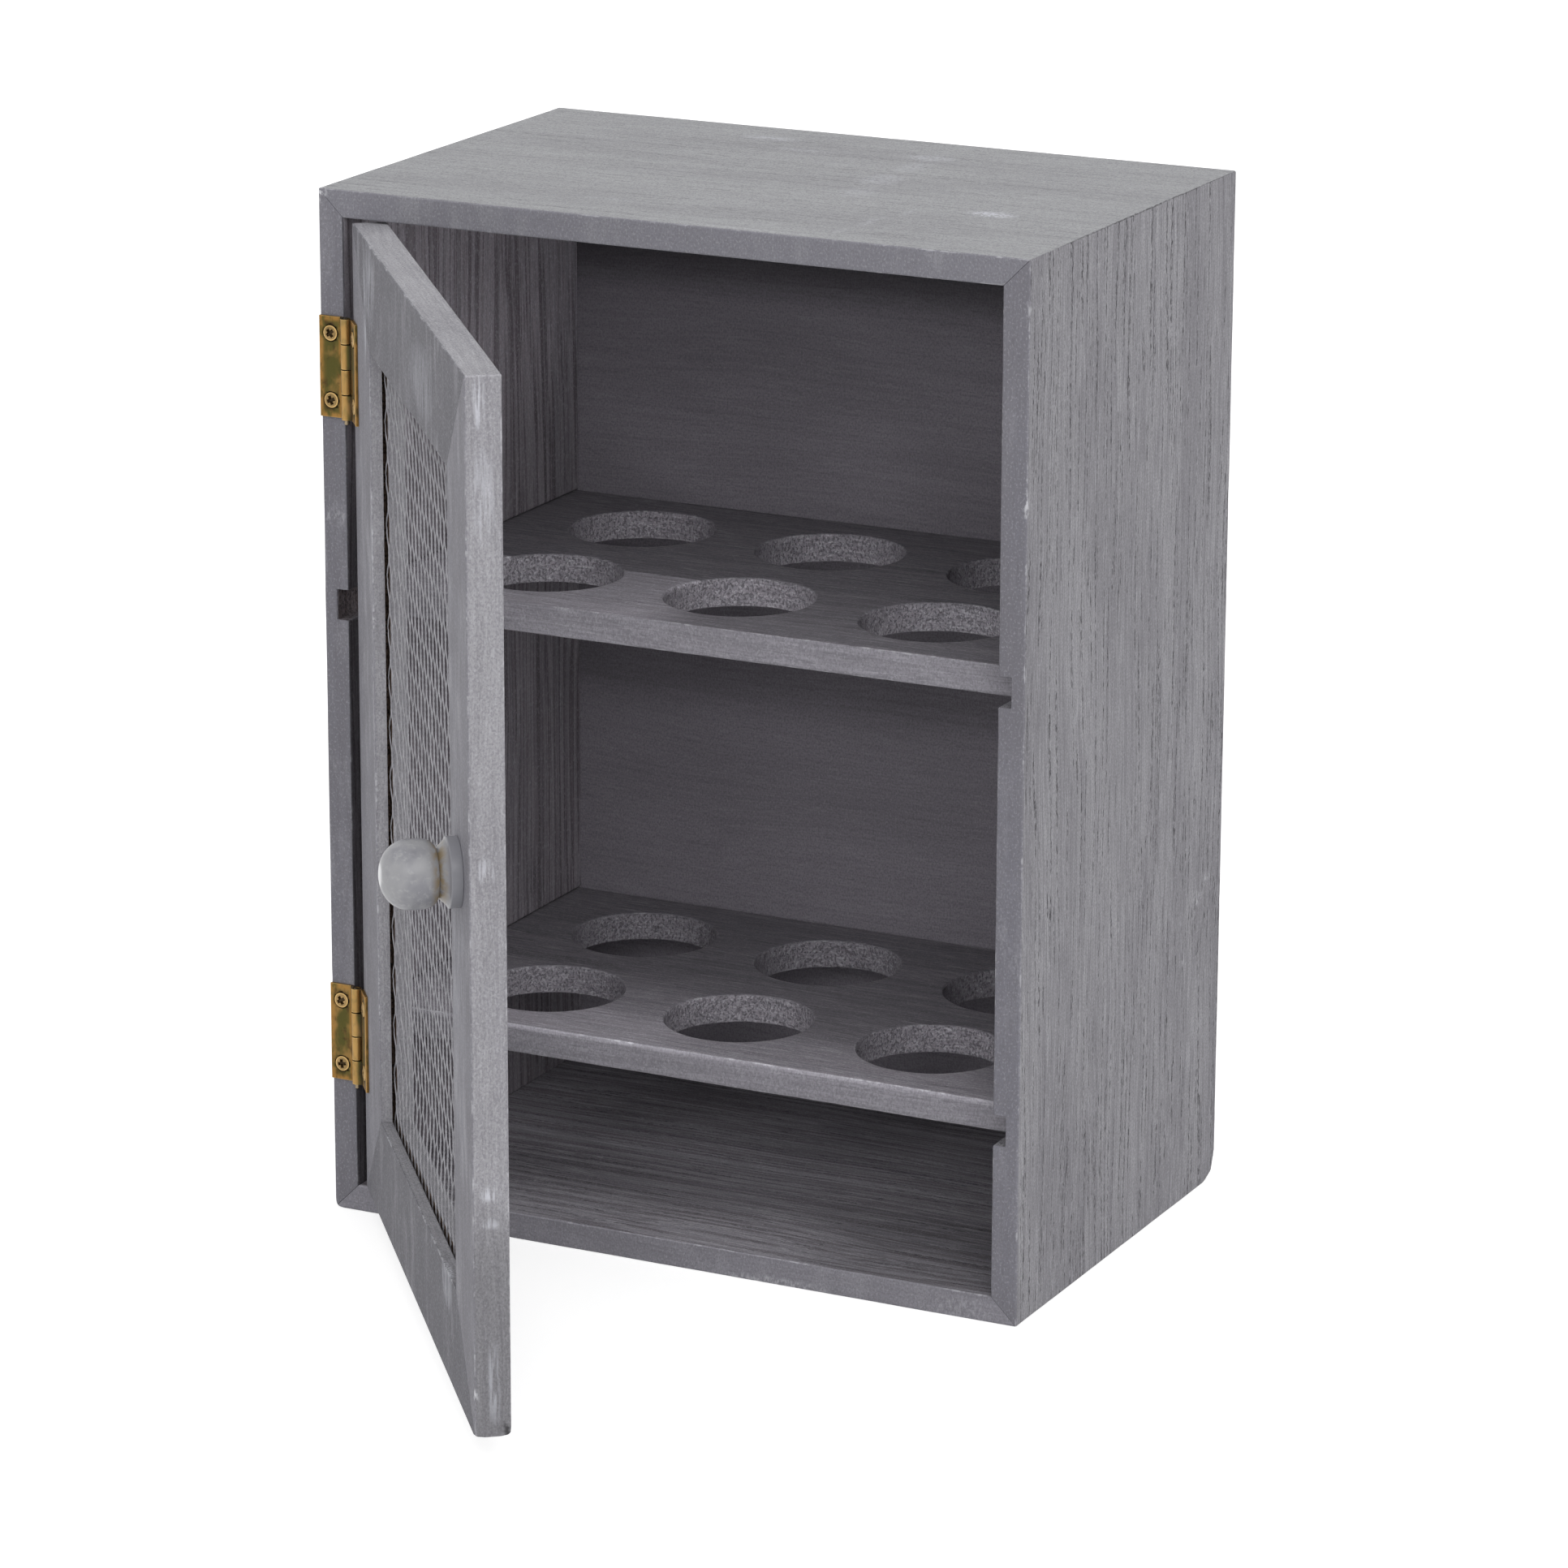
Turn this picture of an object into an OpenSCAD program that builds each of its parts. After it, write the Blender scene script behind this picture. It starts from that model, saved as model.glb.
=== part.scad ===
// Small wooden cupboard with a wire-netting door that swings on two brass hinges.
// Millimetres. +Z is up, the door side faces -Y, and the origin is the centre of the base.
// The door is built where it stands ajar; a turn about the hinge pins closes it.

/* [Case] */
// Outside width of the case
case_w = 188; // [160:1:220]
// Outside depth of the case
case_d = 122; // [105:1:150]
// Outside height of the case
case_h = 260; // [235:1:300]
// Thickness of the four mitred case boards
board_t = 6.8; // [6:0.1:9]
// Thickness of the back panel
back_t = 3; // [2:0.1:5]
// Width of the rebate that the back panel lies in
back_lap = 3; // [2:0.1:4]
// Gap round the back panel in its rebate
back_play = 0.2; // [0.1:0.05:0.4]

/* [Shelves] */
// Thickness of a shelf
shelf_t = 7.4; // [6:0.1:9]
// Height of the upper shelf's top face above the base
upper_shelf_z = 160.5; // [135:0.5:172]
// Height of the lower shelf's top face above the base
lower_shelf_z = 52.5; // [48:0.5:53.5]
// Depth of the grooves that carry the shelf ends
groove_d = 3.3; // [2.5:0.1:4]
// Air above a shelf end in its groove
groove_play = 0.3; // [0.1:0.05:0.5]
// Air beyond a shelf's ends and behind its back edge
shelf_end_play = 0.2; // [0.1:0.05:0.4]
// Diameter of the round holes in a shelf
hole_d = 37.6; // [25:0.1:46]
// Holes side by side across a shelf
hole_columns = 3; // [2:1:3]
// Rows of holes from front to back
hole_rows = 2; // [1:1:2]
// Distance between hole centres across a shelf
hole_pitch_x = 53; // [48:0.5:56]
// Distance between hole centres from front to back
hole_pitch_y = 50.5; // [48:0.5:56]

/* [Door] */
// Thickness of the door frame
door_t = 8.3; // [8:0.1:12]
// Gap between the door and the case opening above, below and at the free edge
door_gap = 0.6; // [0.5:0.05:1.2]
// Gap between the door and the case opening on the hinge side
hinge_gap = 2.6; // [0.6:0.05:3]
// Air between the closed door's back and the shelf fronts
door_back_play = 1.5; // [0.5:0.1:3]
// Width of the four mitred frame members
frame_w = 26; // [22:0.5:34]
// Thickness of the frame's front lip, before the rebate
lip_t = 3; // [2.5:0.1:4.5]
// Width of the rebate behind the lip
rebate_w = 5; // [4:0.1:7]
// Gap between a retaining bead and the rebate's wall
bead_play = 0.2; // [0.1:0.05:0.4]
// Angle at which the door stands open
door_angle = 51.9; // [0:0.1:180]

/* [Netting] */
// Width of one mesh between its twists
mesh_w = 10.8; // [10:0.1:16]
// Height from one row of twists to the next
mesh_rise = 10.8; // [10:0.1:16]
// Length of a twist, where two wires run side by side
twist_l = 5; // [3:0.1:7]
// Diameter of the netting wire
wire_d = 0.8; // [0.5:0.05:1]
// Gap between the two wires of a twist
wire_gap = 0.05; // [0.02:0.01:0.1]
// Room for the netting between the lip and the beads
net_slot = 1.2; // [1.1:0.05:2]
// Distance that the netting reaches in behind the lip
net_lap = 4; // [2.5:0.1:4.2]

/* [Hinges] */
// Height of a hinge leaf
hinge_l = 25; // [22:0.5:30]
// Width of a leaf from the pin's axis to its outer edge
leaf_w = 8; // [6.8:0.1:9]
// Thickness of the leaf sheet
leaf_t = 0.8; // [0.6:0.05:1]
// Outside diameter of the rolled knuckles
knuckle_d = 2.6; // [2.4:0.1:3.2]
// Number of knuckles, shared in turn by the two leaves
knuckles = 4; // [2:2:6]
// Gap between neighbouring knuckles
knuckle_gap = 0.2; // [0.15:0.05:0.4]
// Gap between a knuckle and the wood behind it
knuckle_lift = 0.45; // [0.35:0.05:0.6]
// Distance beside a knuckle over which its leaf rises to it
leaf_ramp = 0.35; // [0.2:0.05:0.5]
// Diameter of the hinge pin
pin_d = 1.3; // [1:0.05:1.5]
// Running clearance between the pin and a knuckle's bore
pin_clearance = 0.05; // [0.03:0.01:0.1]
// Length of the pin that shows below the last knuckle
pin_tail = 1.2; // [0.6:0.1:2]
// Distance from the top of the case to the upper hinge's middle
upper_hinge_inset = 43.5; // [30:0.5:60]
// Distance from the base to the lower hinge's middle
lower_hinge_inset = 47; // [44.5:0.5:47.5]

/* [Screws] */
// Distance from the pin's axis to a leaf's screws
leaf_screw_x = 4.9; // [3.8:0.1:5.2]
// Distance between the two screws of a leaf
leaf_screw_pitch = 16.6; // [14:0.2:18]
// Diameter of a hinge screw's head
leaf_screw_head_d = 3.8; // [3:0.1:4]
// Height of a hinge screw's domed top above the leaf
leaf_screw_dome = 0.35; // [0.2:0.05:0.5]
// Diameter of a hinge screw's shank
leaf_screw_shank_d = 1.7; // [1.4:0.1:2]
// Depth that a hinge screw reaches into the wood
leaf_screw_bite = 6; // [4:0.5:7]
// Gap between a screw and the hole it sits in
screw_fit = 0.03; // [0.02:0.01:0.05]

/* [Knob] */
// Height of the knob's axis above the base
knob_z = 136.5; // [110:0.5:160]
// Distance from the door's free edge to the knob's axis
knob_inset = 15.2; // [12:0.1:16]
// Diameter of the knob's foot
knob_foot_d = 16.2; // [14:0.1:20]
// Thickness of the foot's straight rim
knob_rim_t = 2.8; // [1.5:0.1:3.4]
// Distance from the door to the knob's neck
knob_neck_l = 5; // [3.8:0.1:6]
// Diameter of the neck
knob_neck_d = 10.8; // [9:0.1:12]
// Diameter of the rounded head
knob_head_d = 16; // [15:0.1:20]
// Distance from the door to the head's front
knob_l = 17.9; // [16:0.1:24]
// Diameter of the screw that holds the knob
knob_screw_d = 2.8; // [2:0.1:3.5]
// Head diameter of the knob's screw
knob_screw_head_d = 5.6; // [5:0.1:6]
// Depth that the knob's screw reaches into the knob
knob_screw_bite = 11; // [8:0.5:13]

/* [Hidden] */
$fn = 64;

painted_wood = "#8d8c91";
painted_dark = "#5f5c61";
painted_wire = "#97969a";
aged_brass = "#a5874f";
bright_steel = "#c9c7c2";

// Room taken past a face by a cut, so that no skin is left
cut_past = 1;
// Points in a quarter of the knob head's curve
curve_steps = 8;

left_x = -case_w / 2;
front_y = -case_d / 2;
back_y = case_d / 2;
inner_w = case_w - 2 * board_t;
shelf_front_y = front_y + door_t + door_back_play;
shelf_back_y = back_y - back_t - shelf_end_play;

door_w = inner_w - door_gap - hinge_gap;
door_h = case_h - 2 * board_t - 2 * door_gap;
door_x = left_x + board_t + hinge_gap;
door_z = board_t + door_gap;
door_middle_x = door_x + door_w / 2;
bead_front = lip_t + net_slot;

knuckle_r = knuckle_d / 2;
pin_standoff = knuckle_r + knuckle_lift;
pin_x = left_x + board_t + hinge_gap / 2;
pin_y = front_y - pin_standoff;
bore_r = pin_d / 2 + pin_clearance;
knuckle_l = hinge_l / knuckles;
upper_hinge_z = case_h - upper_hinge_inset;
lower_hinge_z = lower_hinge_inset;
// Half the gap between the two closed leaves, under the pin
leaf_seam = 0.1;
leaf_rise_start = knuckle_r + leaf_ramp;

net_w = door_w - 2 * frame_w + 2 * net_lap;
net_h = door_h - 2 * frame_w + 2 * net_lap;
net_wires = floor(net_w / (mesh_w / 2));
net_rows = floor((net_h - twist_l) / mesh_rise) + 1;
wire_offset = wire_d / 2 + wire_gap / 2;

knob_x = door_x + door_w - knob_inset;

// Extrudes an outline drawn in X and Z from depth y0 to depth y1
module along_depth(y0, y1) {
    translate([0, y1, 0]) rotate([90, 0, 0]) linear_extrude(y1 - y0) children();
}

// Swings what is drawn on the closed door to where the door stands
module on_door() {
    translate([pin_x, pin_y, 0]) rotate([0, 0, -door_angle]) translate([-pin_x, -pin_y, 0]) children();
}

// Upright member of a mitred frame w by h: from b to a in from its left edge
module mitred_upright(h, a, b) {
    polygon([[a, a], [b, b], [b, h - b], [a, h - a]]);
}

// Level member of the same frame: from a to b in from its lower edge
module mitred_level(w, a, b) {
    polygon([[a, a], [w - a, a], [w - b, b], [b, b]]);
}

// Mirrors about the upright plane through x
module mirror_at_x(x) {
    translate([2 * x, 0, 0]) mirror([1, 0, 0]) children();
}

// Mirrors about the level plane through z
module mirror_at_z(z) {
    translate([0, 0, 2 * z]) mirror([0, 0, 1]) children();
}

// Groove for a shelf whose top face is at z, cut from the left side's inner face
module shelf_groove(z) {
    translate([left_x + board_t - groove_d, front_y - cut_past, z - shelf_t])
        cube([groove_d + cut_past, case_d + 2 * cut_past, shelf_t + groove_play]);
}

// Space behind the boards' inner edges where the back panel lies
module back_rebate() {
    translate([left_x + board_t - back_lap, back_y - back_t, board_t - back_lap])
        cube([inner_w + 2 * back_lap, back_t + cut_past, case_h - 2 * board_t + 2 * back_lap]);
}

// Holes for the two screws of a case leaf whose middle is at z
module case_leaf_screw_holes(z) {
    for (side = [-1, 1])
        translate([pin_x - leaf_screw_x, front_y, z + side * leaf_screw_pitch / 2])
            rotate([-90, 0, 0])
                translate([0, 0, -cut_past])
                    cylinder(r = leaf_screw_shank_d / 2 + screw_fit, h = leaf_screw_bite + cut_past + screw_fit);
}

module side_blank() {
    difference() {
        translate([left_x, 0, 0]) along_depth(front_y, back_y) mitred_upright(case_h, 0, board_t);
        shelf_groove(upper_shelf_z);
        shelf_groove(lower_shelf_z);
        back_rebate();
    }
}

module level_blank() {
    difference() {
        translate([left_x, 0, 0]) along_depth(front_y, back_y) mitred_level(case_w, 0, board_t);
        back_rebate();
    }
}

module left_side() {
    color(painted_wood) difference() {
        side_blank();
        case_leaf_screw_holes(upper_hinge_z);
        case_leaf_screw_holes(lower_hinge_z);
    }
}

module right_side() {
    color(painted_wood) mirror([1, 0, 0]) side_blank();
}

module bottom_board() {
    color(painted_wood) level_blank();
}

module top_board() {
    color(painted_wood) mirror_at_z(case_h / 2) level_blank();
}

module back_panel() {
    lap = back_lap - back_play;
    color(painted_dark)
        translate([-inner_w / 2 - lap, back_y - back_t, board_t - lap])
            cube([inner_w + 2 * lap, back_t, case_h - 2 * board_t + 2 * lap]);
}

// Shelf whose top face is at z, with its grid of round holes
module shelf(z) {
    reach = inner_w / 2 + groove_d - shelf_end_play;
    middle_y = (shelf_front_y + shelf_back_y) / 2;
    color(painted_dark) difference() {
        translate([-reach, shelf_front_y, z - shelf_t])
            cube([2 * reach, shelf_back_y - shelf_front_y, shelf_t]);
        for (i = [0 : hole_columns - 1], k = [0 : hole_rows - 1])
            translate([
                (i - (hole_columns - 1) / 2) * hole_pitch_x,
                middle_y + (k - (hole_rows - 1) / 2) * hole_pitch_y,
                z - shelf_t - cut_past
            ])
                cylinder(d = hole_d, h = shelf_t + 2 * cut_past);
    }
}

module upper_shelf() {
    shelf(upper_shelf_z);
}

module lower_shelf() {
    shelf(lower_shelf_z);
}

// Screw holes of a door leaf whose middle is at z, drawn on the closed door
module door_leaf_screw_holes(z) {
    mirror_at_x(pin_x) case_leaf_screw_holes(z);
}

// Hinge-side member of the door frame: a front lip with a rebated back
module stile_blank() {
    translate([door_x, 0, door_z]) {
        along_depth(front_y, front_y + lip_t) mitred_upright(door_h, 0, frame_w);
        along_depth(front_y + lip_t, front_y + door_t) mitred_upright(door_h, 0, frame_w - rebate_w);
    }
}

module rail_blank() {
    translate([door_x, 0, door_z]) {
        along_depth(front_y, front_y + lip_t) mitred_level(door_w, 0, frame_w);
        along_depth(front_y + lip_t, front_y + door_t) mitred_level(door_w, 0, frame_w - rebate_w);
    }
}

module door_hinge_stile() {
    color(painted_wood) on_door() difference() {
        stile_blank();
        door_leaf_screw_holes(upper_hinge_z);
        door_leaf_screw_holes(lower_hinge_z);
    }
}

module door_free_stile() {
    color(painted_wood) on_door() difference() {
        mirror_at_x(door_middle_x) stile_blank();
        knob_screw_space(screw_fit);
    }
}

module door_bottom_rail() {
    color(painted_wood) on_door() rail_blank();
}

module door_top_rail() {
    color(painted_wood) on_door() mirror_at_z(case_h / 2) rail_blank();
}

// Retaining bead beside the hinge stile, mitred into the ones above and below it
module upright_bead() {
    translate([door_x, 0, door_z])
        along_depth(front_y + bead_front, front_y + door_t)
            mitred_upright(door_h, frame_w - rebate_w + bead_play, frame_w);
}

module level_bead() {
    translate([door_x, 0, door_z])
        along_depth(front_y + bead_front, front_y + door_t)
            mitred_level(door_w, frame_w - rebate_w + bead_play, frame_w);
}

module hinge_stile_bead() {
    color(painted_wood) on_door() upright_bead();
}

module free_stile_bead() {
    color(painted_wood) on_door() mirror_at_x(door_middle_x) upright_bead();
}

module bottom_rail_bead() {
    color(painted_wood) on_door() level_bead();
}

module top_rail_bead() {
    color(painted_wood) on_door() mirror_at_z(case_h / 2) level_bead();
}

// One unbroken wire of the netting. It zigzags between column lines i and i + 1, a half mesh apart,
// and runs straight beside its neighbour at each row, so wires i and i + 1 meet at every second row.
function wire_x(i, row) =
    (i + row) % 2 == 0 ? i * mesh_w / 2 + wire_offset : (i + 1) * mesh_w / 2 - wire_offset;

function wire_route(i) = [
    for (row = [0 : net_rows - 1], end = [0, 1])
        [wire_x(i, row), row * mesh_rise + end * twist_l]
];

// Square section of a wire about a point [x, z] of its route, in the netting's plane
function wire_ring(p) = [
    [p[0] - wire_d / 2, 0, p[1]],
    [p[0], -wire_d / 2, p[1]],
    [p[0] + wire_d / 2, 0, p[1]],
    [p[0], wire_d / 2, p[1]]
];

module net_wire(i) {
    route = wire_route(i);
    last = len(route) - 1;
    points = [for (p = route) each wire_ring(p)];
    sides = [
        for (ring = [0 : last - 1], side = [0 : 3])
            let (a = ring * 4 + side, b = ring * 4 + (side + 1) % 4)
                each [[a, a + 4, b + 4], [a, b + 4, b]]
    ];
    foot = [[0, 1, 2], [0, 2, 3]];
    head = [[last * 4, last * 4 + 2, last * 4 + 1], [last * 4, last * 4 + 3, last * 4 + 2]];
    polyhedron(points, concat(sides, foot, head));
}

module wire_netting() {
    width = net_wires * mesh_w / 2;
    height = (net_rows - 1) * mesh_rise + twist_l;
    color(painted_wire) on_door()
        translate([
            door_x + (door_w - width) / 2,
            front_y + lip_t + net_slot / 2,
            door_z + (door_h - height) / 2
        ])
            for (i = [0 : net_wires - 1]) net_wire(i);
}

// Point where the line from p outside a circle at c touches it, on its left side
function tangent_point(p, c, r) =
    let (
        reach = norm(c - p),
        turn = asin(r / reach),
        way = atan2(c[1] - p[1], c[0] - p[0]) + turn,
        run = sqrt(reach * reach - r * r)
    )
    [p[0] + run * cos(way), p[1] + run * sin(way)];

// Leaf in plan, with the pin's axis over x = 0 and the wood's face at y = 0, as it is at a knuckle
module leaf_with_knuckle() {
    axis = [0, pin_standoff];
    start = [-leaf_rise_start, leaf_t];
    translate([-leaf_w, 0]) square([leaf_w - leaf_seam, leaf_t]);
    polygon([start, tangent_point(start, axis, knuckle_r), axis, [-leaf_seam, 0], [-leaf_rise_start, 0]]);
    translate(axis) circle(knuckle_r);
}

// Leaf in plan where the other leaf has its knuckle
module leaf_cut_back() {
    translate([-leaf_w, 0]) square([leaf_w - knuckle_r - knuckle_gap, leaf_t]);
}

// Hinge leaf for the left of the pin. Its knuckles start with number first, counted from the top
module hinge_leaf(first) {
    difference() {
        for (n = [0 : knuckles - 1]) {
            own = (n - first) % 2 == 0;
            inset = own ? knuckle_gap / 2 : -knuckle_gap / 2;
            low = max(0, (knuckles - 1 - n) * knuckle_l + (n == knuckles - 1 && own ? 0 : inset));
            high = min(hinge_l, (knuckles - n) * knuckle_l - (n == 0 && own ? 0 : inset));
            translate([0, 0, low]) linear_extrude(high - low) {
                if (own) leaf_with_knuckle();
                else leaf_cut_back();
            }
        }
        translate([0, pin_standoff, -cut_past]) cylinder(r = bore_r, h = hinge_l + 2 * cut_past);
        for (side = [-1, 1])
            translate([-leaf_screw_x, leaf_t, hinge_l / 2 + side * leaf_screw_pitch / 2])
                rotate([90, 0, 0])
                    countersink(screw_fit);
    }
}

// Countersunk hole from a leaf's front down through it, wider and deeper than the screw by fit
module countersink(fit) {
    head_r = leaf_screw_head_d / 2 + fit;
    shank_r = leaf_screw_shank_d / 2 + fit;
    translate([0, 0, -cut_past]) cylinder(r = head_r, h = cut_past + fit);
    translate([0, 0, fit]) cylinder(r1 = head_r, r2 = shank_r, h = leaf_t);
    cylinder(r = shank_r, h = leaf_t + cut_past);
}

// Places a leaf drawn for the case, with its middle at z
module at_case(z) {
    translate([pin_x, front_y, z - hinge_l / 2]) mirror([0, 1, 0]) children();
}

// Places the same leaf on the closed door
module at_door(z) {
    mirror_at_x(pin_x) at_case(z) children();
}

module upper_case_leaf() {
    color(aged_brass) at_case(upper_hinge_z) hinge_leaf(0);
}

module lower_case_leaf() {
    color(aged_brass) at_case(lower_hinge_z) hinge_leaf(0);
}

module upper_door_leaf() {
    color(aged_brass) on_door() at_door(upper_hinge_z) hinge_leaf(1);
}

module lower_door_leaf() {
    color(aged_brass) on_door() at_door(lower_hinge_z) hinge_leaf(1);
}

// Hinge pin through all the knuckles, with a bevelled tail below the last one
module hinge_pin(z) {
    r = pin_d / 2;
    bevel = r / 3;
    bottom = -hinge_l / 2 - pin_tail;
    top = hinge_l / 2;
    color(bright_steel)
        translate([pin_x, pin_y, z])
            rotate_extrude()
                polygon([
                    [0, bottom], [r - bevel, bottom], [r, bottom + bevel],
                    [r, top - bevel], [r - bevel, top], [0, top]
                ]);
}

module upper_hinge_pin() {
    hinge_pin(upper_hinge_z);
}

module lower_hinge_pin() {
    hinge_pin(lower_hinge_z);
}

// Crossed slot in a screw's head, cut down from z = 0 by depth
module cross_slot(head_d, depth) {
    slot_w = head_d / 6;
    slot_l = head_d * 0.62;
    for (turn = [0, 90])
        rotate([0, 0, turn])
            translate([-slot_l / 2, -slot_w / 2, -depth])
                cube([slot_l, slot_w, depth + cut_past]);
}

// Hinge screw with its point down and the leaf's front face at z = 0
module leaf_screw() {
    head_r = leaf_screw_head_d / 2;
    shank_r = leaf_screw_shank_d / 2;
    tip = -leaf_t - leaf_screw_bite;
    difference() {
        rotate_extrude()
            polygon([
                [0, tip], [shank_r, tip + shank_r], [shank_r, -leaf_t],
                [head_r, 0], [head_r * 0.8, leaf_screw_dome * 0.75], [head_r * 0.45, leaf_screw_dome],
                [0, leaf_screw_dome]
            ]);
        translate([0, 0, leaf_screw_dome]) cross_slot(leaf_screw_head_d, leaf_t);
    }
}

// The four screws of the two leaves drawn for the case
module leaf_screws() {
    for (z = [upper_hinge_z, lower_hinge_z], side = [-1, 1])
        translate([pin_x - leaf_screw_x, front_y - leaf_t, z + side * leaf_screw_pitch / 2])
            rotate([90, 0, 0])
                leaf_screw();
}

module case_hinge_screws() {
    color(aged_brass) leaf_screws();
}

module door_hinge_screws() {
    color(aged_brass) on_door() mirror_at_x(pin_x) leaf_screws();
}

// Quarter of a full, rounded curve: from the widest point, r from the axis, to an end b away
function full_quarter(r, b, fullness, steps) = [
    for (n = [0 : steps])
        let (turn = 90 * n / steps)
            [r * pow(max(0, cos(turn)), 2 / fullness), b * pow(sin(turn), 2 / fullness)]
];

// Knob in profile: foot with a straight rim, cone to the neck, and a full rounded head
module knob_profile() {
    head_r = knob_head_d / 2;
    neck_r = knob_neck_d / 2;
    head_l = knob_l - knob_neck_l;
    back_l = head_l * 0.34;
    front_l = head_l * 0.55;
    back_curve = [
        for (p = full_quarter(head_r - neck_r, back_l, 2.2, curve_steps))
            [neck_r + p[0], knob_neck_l + back_l - p[1]]
    ];
    front_curve = [for (p = full_quarter(head_r, front_l, 2.1, curve_steps)) [p[0], knob_l - front_l + p[1]]];
    polygon(concat(
        [[0, 0], [knob_foot_d / 2, 0], [knob_foot_d / 2, knob_rim_t]],
        [for (n = [curve_steps : -1 : 0]) back_curve[n]],
        front_curve
    ));
}

// Puts the knob's axis on the closed door, with z = 0 at its front face and z up towards the front
module at_knob() {
    translate([knob_x, front_y, knob_z]) rotate([90, 0, 0]) children();
}

module knob() {
    color(painted_wood) on_door() difference() {
        at_knob() rotate_extrude() knob_profile();
        knob_screw_space(screw_fit);
    }
}

// Space of the knob's screw, wider by fit all round, with a countersink at the door's back
module knob_screw_space(fit) {
    shank_r = knob_screw_d / 2 + fit;
    head_r = knob_screw_head_d / 2 + fit;
    sink = head_r - shank_r;
    at_knob() {
        translate([0, 0, -door_t]) cylinder(r1 = head_r, r2 = shank_r, h = sink);
        translate([0, 0, -door_t]) cylinder(r = shank_r, h = door_t + knob_screw_bite + fit);
    }
}

module knob_screw() {
    color(bright_steel) on_door() difference() {
        knob_screw_space(0);
        at_knob() translate([0, 0, -door_t]) mirror([0, 0, 1]) cross_slot(knob_screw_head_d, knob_screw_head_d / 3);
    }
}

left_side();
right_side();
top_board();
bottom_board();
back_panel();
upper_shelf();
lower_shelf();
upper_case_leaf();
lower_case_leaf();
upper_hinge_pin();
lower_hinge_pin();
case_hinge_screws();
door_hinge_stile();
door_free_stile();
door_top_rail();
door_bottom_rail();
wire_netting();
hinge_stile_bead();
free_stile_bead();
top_rail_bead();
bottom_rail_bead();
upper_door_leaf();
lower_door_leaf();
door_hinge_screws();
knob();
knob_screw();
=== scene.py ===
"""Small wooden cupboard with a wire-netting door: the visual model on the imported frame.

Sizes in the classes are millimetres. Meshes are in metres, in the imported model's own frame: +Z is up,
the door side faces -Y, and the origin is the centre of the base.
"""

import functools
import itertools
import logging
import math
from dataclasses import dataclass, field
from enum import Enum

import bpy
import numpy as np
from mathutils import Matrix


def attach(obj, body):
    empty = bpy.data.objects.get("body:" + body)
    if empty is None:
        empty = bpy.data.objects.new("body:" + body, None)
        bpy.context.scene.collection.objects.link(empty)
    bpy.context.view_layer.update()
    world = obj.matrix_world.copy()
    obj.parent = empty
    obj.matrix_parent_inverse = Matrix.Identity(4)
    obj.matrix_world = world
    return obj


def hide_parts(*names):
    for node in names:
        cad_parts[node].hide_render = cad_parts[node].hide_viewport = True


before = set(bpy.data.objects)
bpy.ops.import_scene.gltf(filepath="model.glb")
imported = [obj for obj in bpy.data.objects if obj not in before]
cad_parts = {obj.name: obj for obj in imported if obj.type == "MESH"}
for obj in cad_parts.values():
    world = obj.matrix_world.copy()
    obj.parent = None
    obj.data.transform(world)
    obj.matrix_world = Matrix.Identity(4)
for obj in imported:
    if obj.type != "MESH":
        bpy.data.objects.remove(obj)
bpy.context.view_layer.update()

MM = 0.001
# No wear of an arris shows further from it than this.
FAR = 10.0
# Front faces of the case and of the closed door.
FRONT = -61.0
# The hinge pins' axis, how far the door is swung from closed, and that turn for points as rows.
PIN = np.array([-85.9, -62.75, 0.0])
SWING = math.radians(-51.9)
SWING_TURN = np.array([
    [math.cos(SWING), math.sin(SWING), 0.0], [-math.sin(SWING), math.cos(SWING), 0.0], [0.0, 0.0, 1.0]])
# Places from an end at which a sampled line closes up.
NEAR_END = np.array([0.0, 0.1, 0.22, 0.38, 0.6, 0.9, 1.4, 2.2])

Point = tuple[float, float, float]
Socket = bpy.types.NodeSocket

log = logging.getLogger("cupboard")


class Grain(Enum):
    """Direction that the wood's grain runs in, as the turn that lays a pattern's z axis along it."""

    UPRIGHT = (0.0, 0.0, 0.0)
    ACROSS = (0.0, math.pi / 2, 0.0)
    UPRIGHT_DOOR = (0.0, 0.0, SWING)
    ACROSS_DOOR = (0.0, math.pi / 2, SWING)


class Wear(Enum):
    """What a mark leaves on the wash, by the name of the value that holds it. On the knob's tip the chalk mark is
    a painted highlight.
    """

    CHALK = "chalk"
    SMEAR = "smear"
    DIRT = "dirt"


class Body(Enum):
    """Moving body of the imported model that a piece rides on."""

    CASE = "case"
    DOOR = "door"


class Lay(Enum):
    """How a shape is laid in the cupboard: where its local x, y and z point."""

    LEFT = ((1, 0, 0), (0, 1, 0), (0, 0, 1))
    RIGHT = ((-1, 0, 0), (0, 1, 0), (0, 0, 1))
    BOTTOM = ((0, 0, 1), (0, 1, 0), (1, 0, 0))
    TOP = ((0, 0, -1), (0, 1, 0), (1, 0, 0))
    OUT_OF_FRONT = ((1, 0, 0), (0, 0, 1), (0, -1, 0))
    OUT_OF_BACK = ((1, 0, 0), (0, 0, -1), (0, 1, 0))
    CASE_LEAF = ((-1, 0, 0), (0, -1, 0), (0, 0, 1))
    DOOR_LEAF = ((1, 0, 0), (0, -1, 0), (0, 0, 1))


UPRIGHTS = (Lay.LEFT, Lay.RIGHT)


def smooth(value: np.ndarray, low: float, high: float) -> np.ndarray:
    """Smooth step: 0 up to low, 1 from high, and 3t^2 - 2t^3 between.

    Args:
        value: Numbers to step.
        low: Where the step starts.
        high: Where the step ends.

    Returns:
        The stepped numbers.
    """
    t = np.clip((value - low) / (high - low), 0.0, 1.0)
    return t * t * (3.0 - 2.0 * t)


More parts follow.
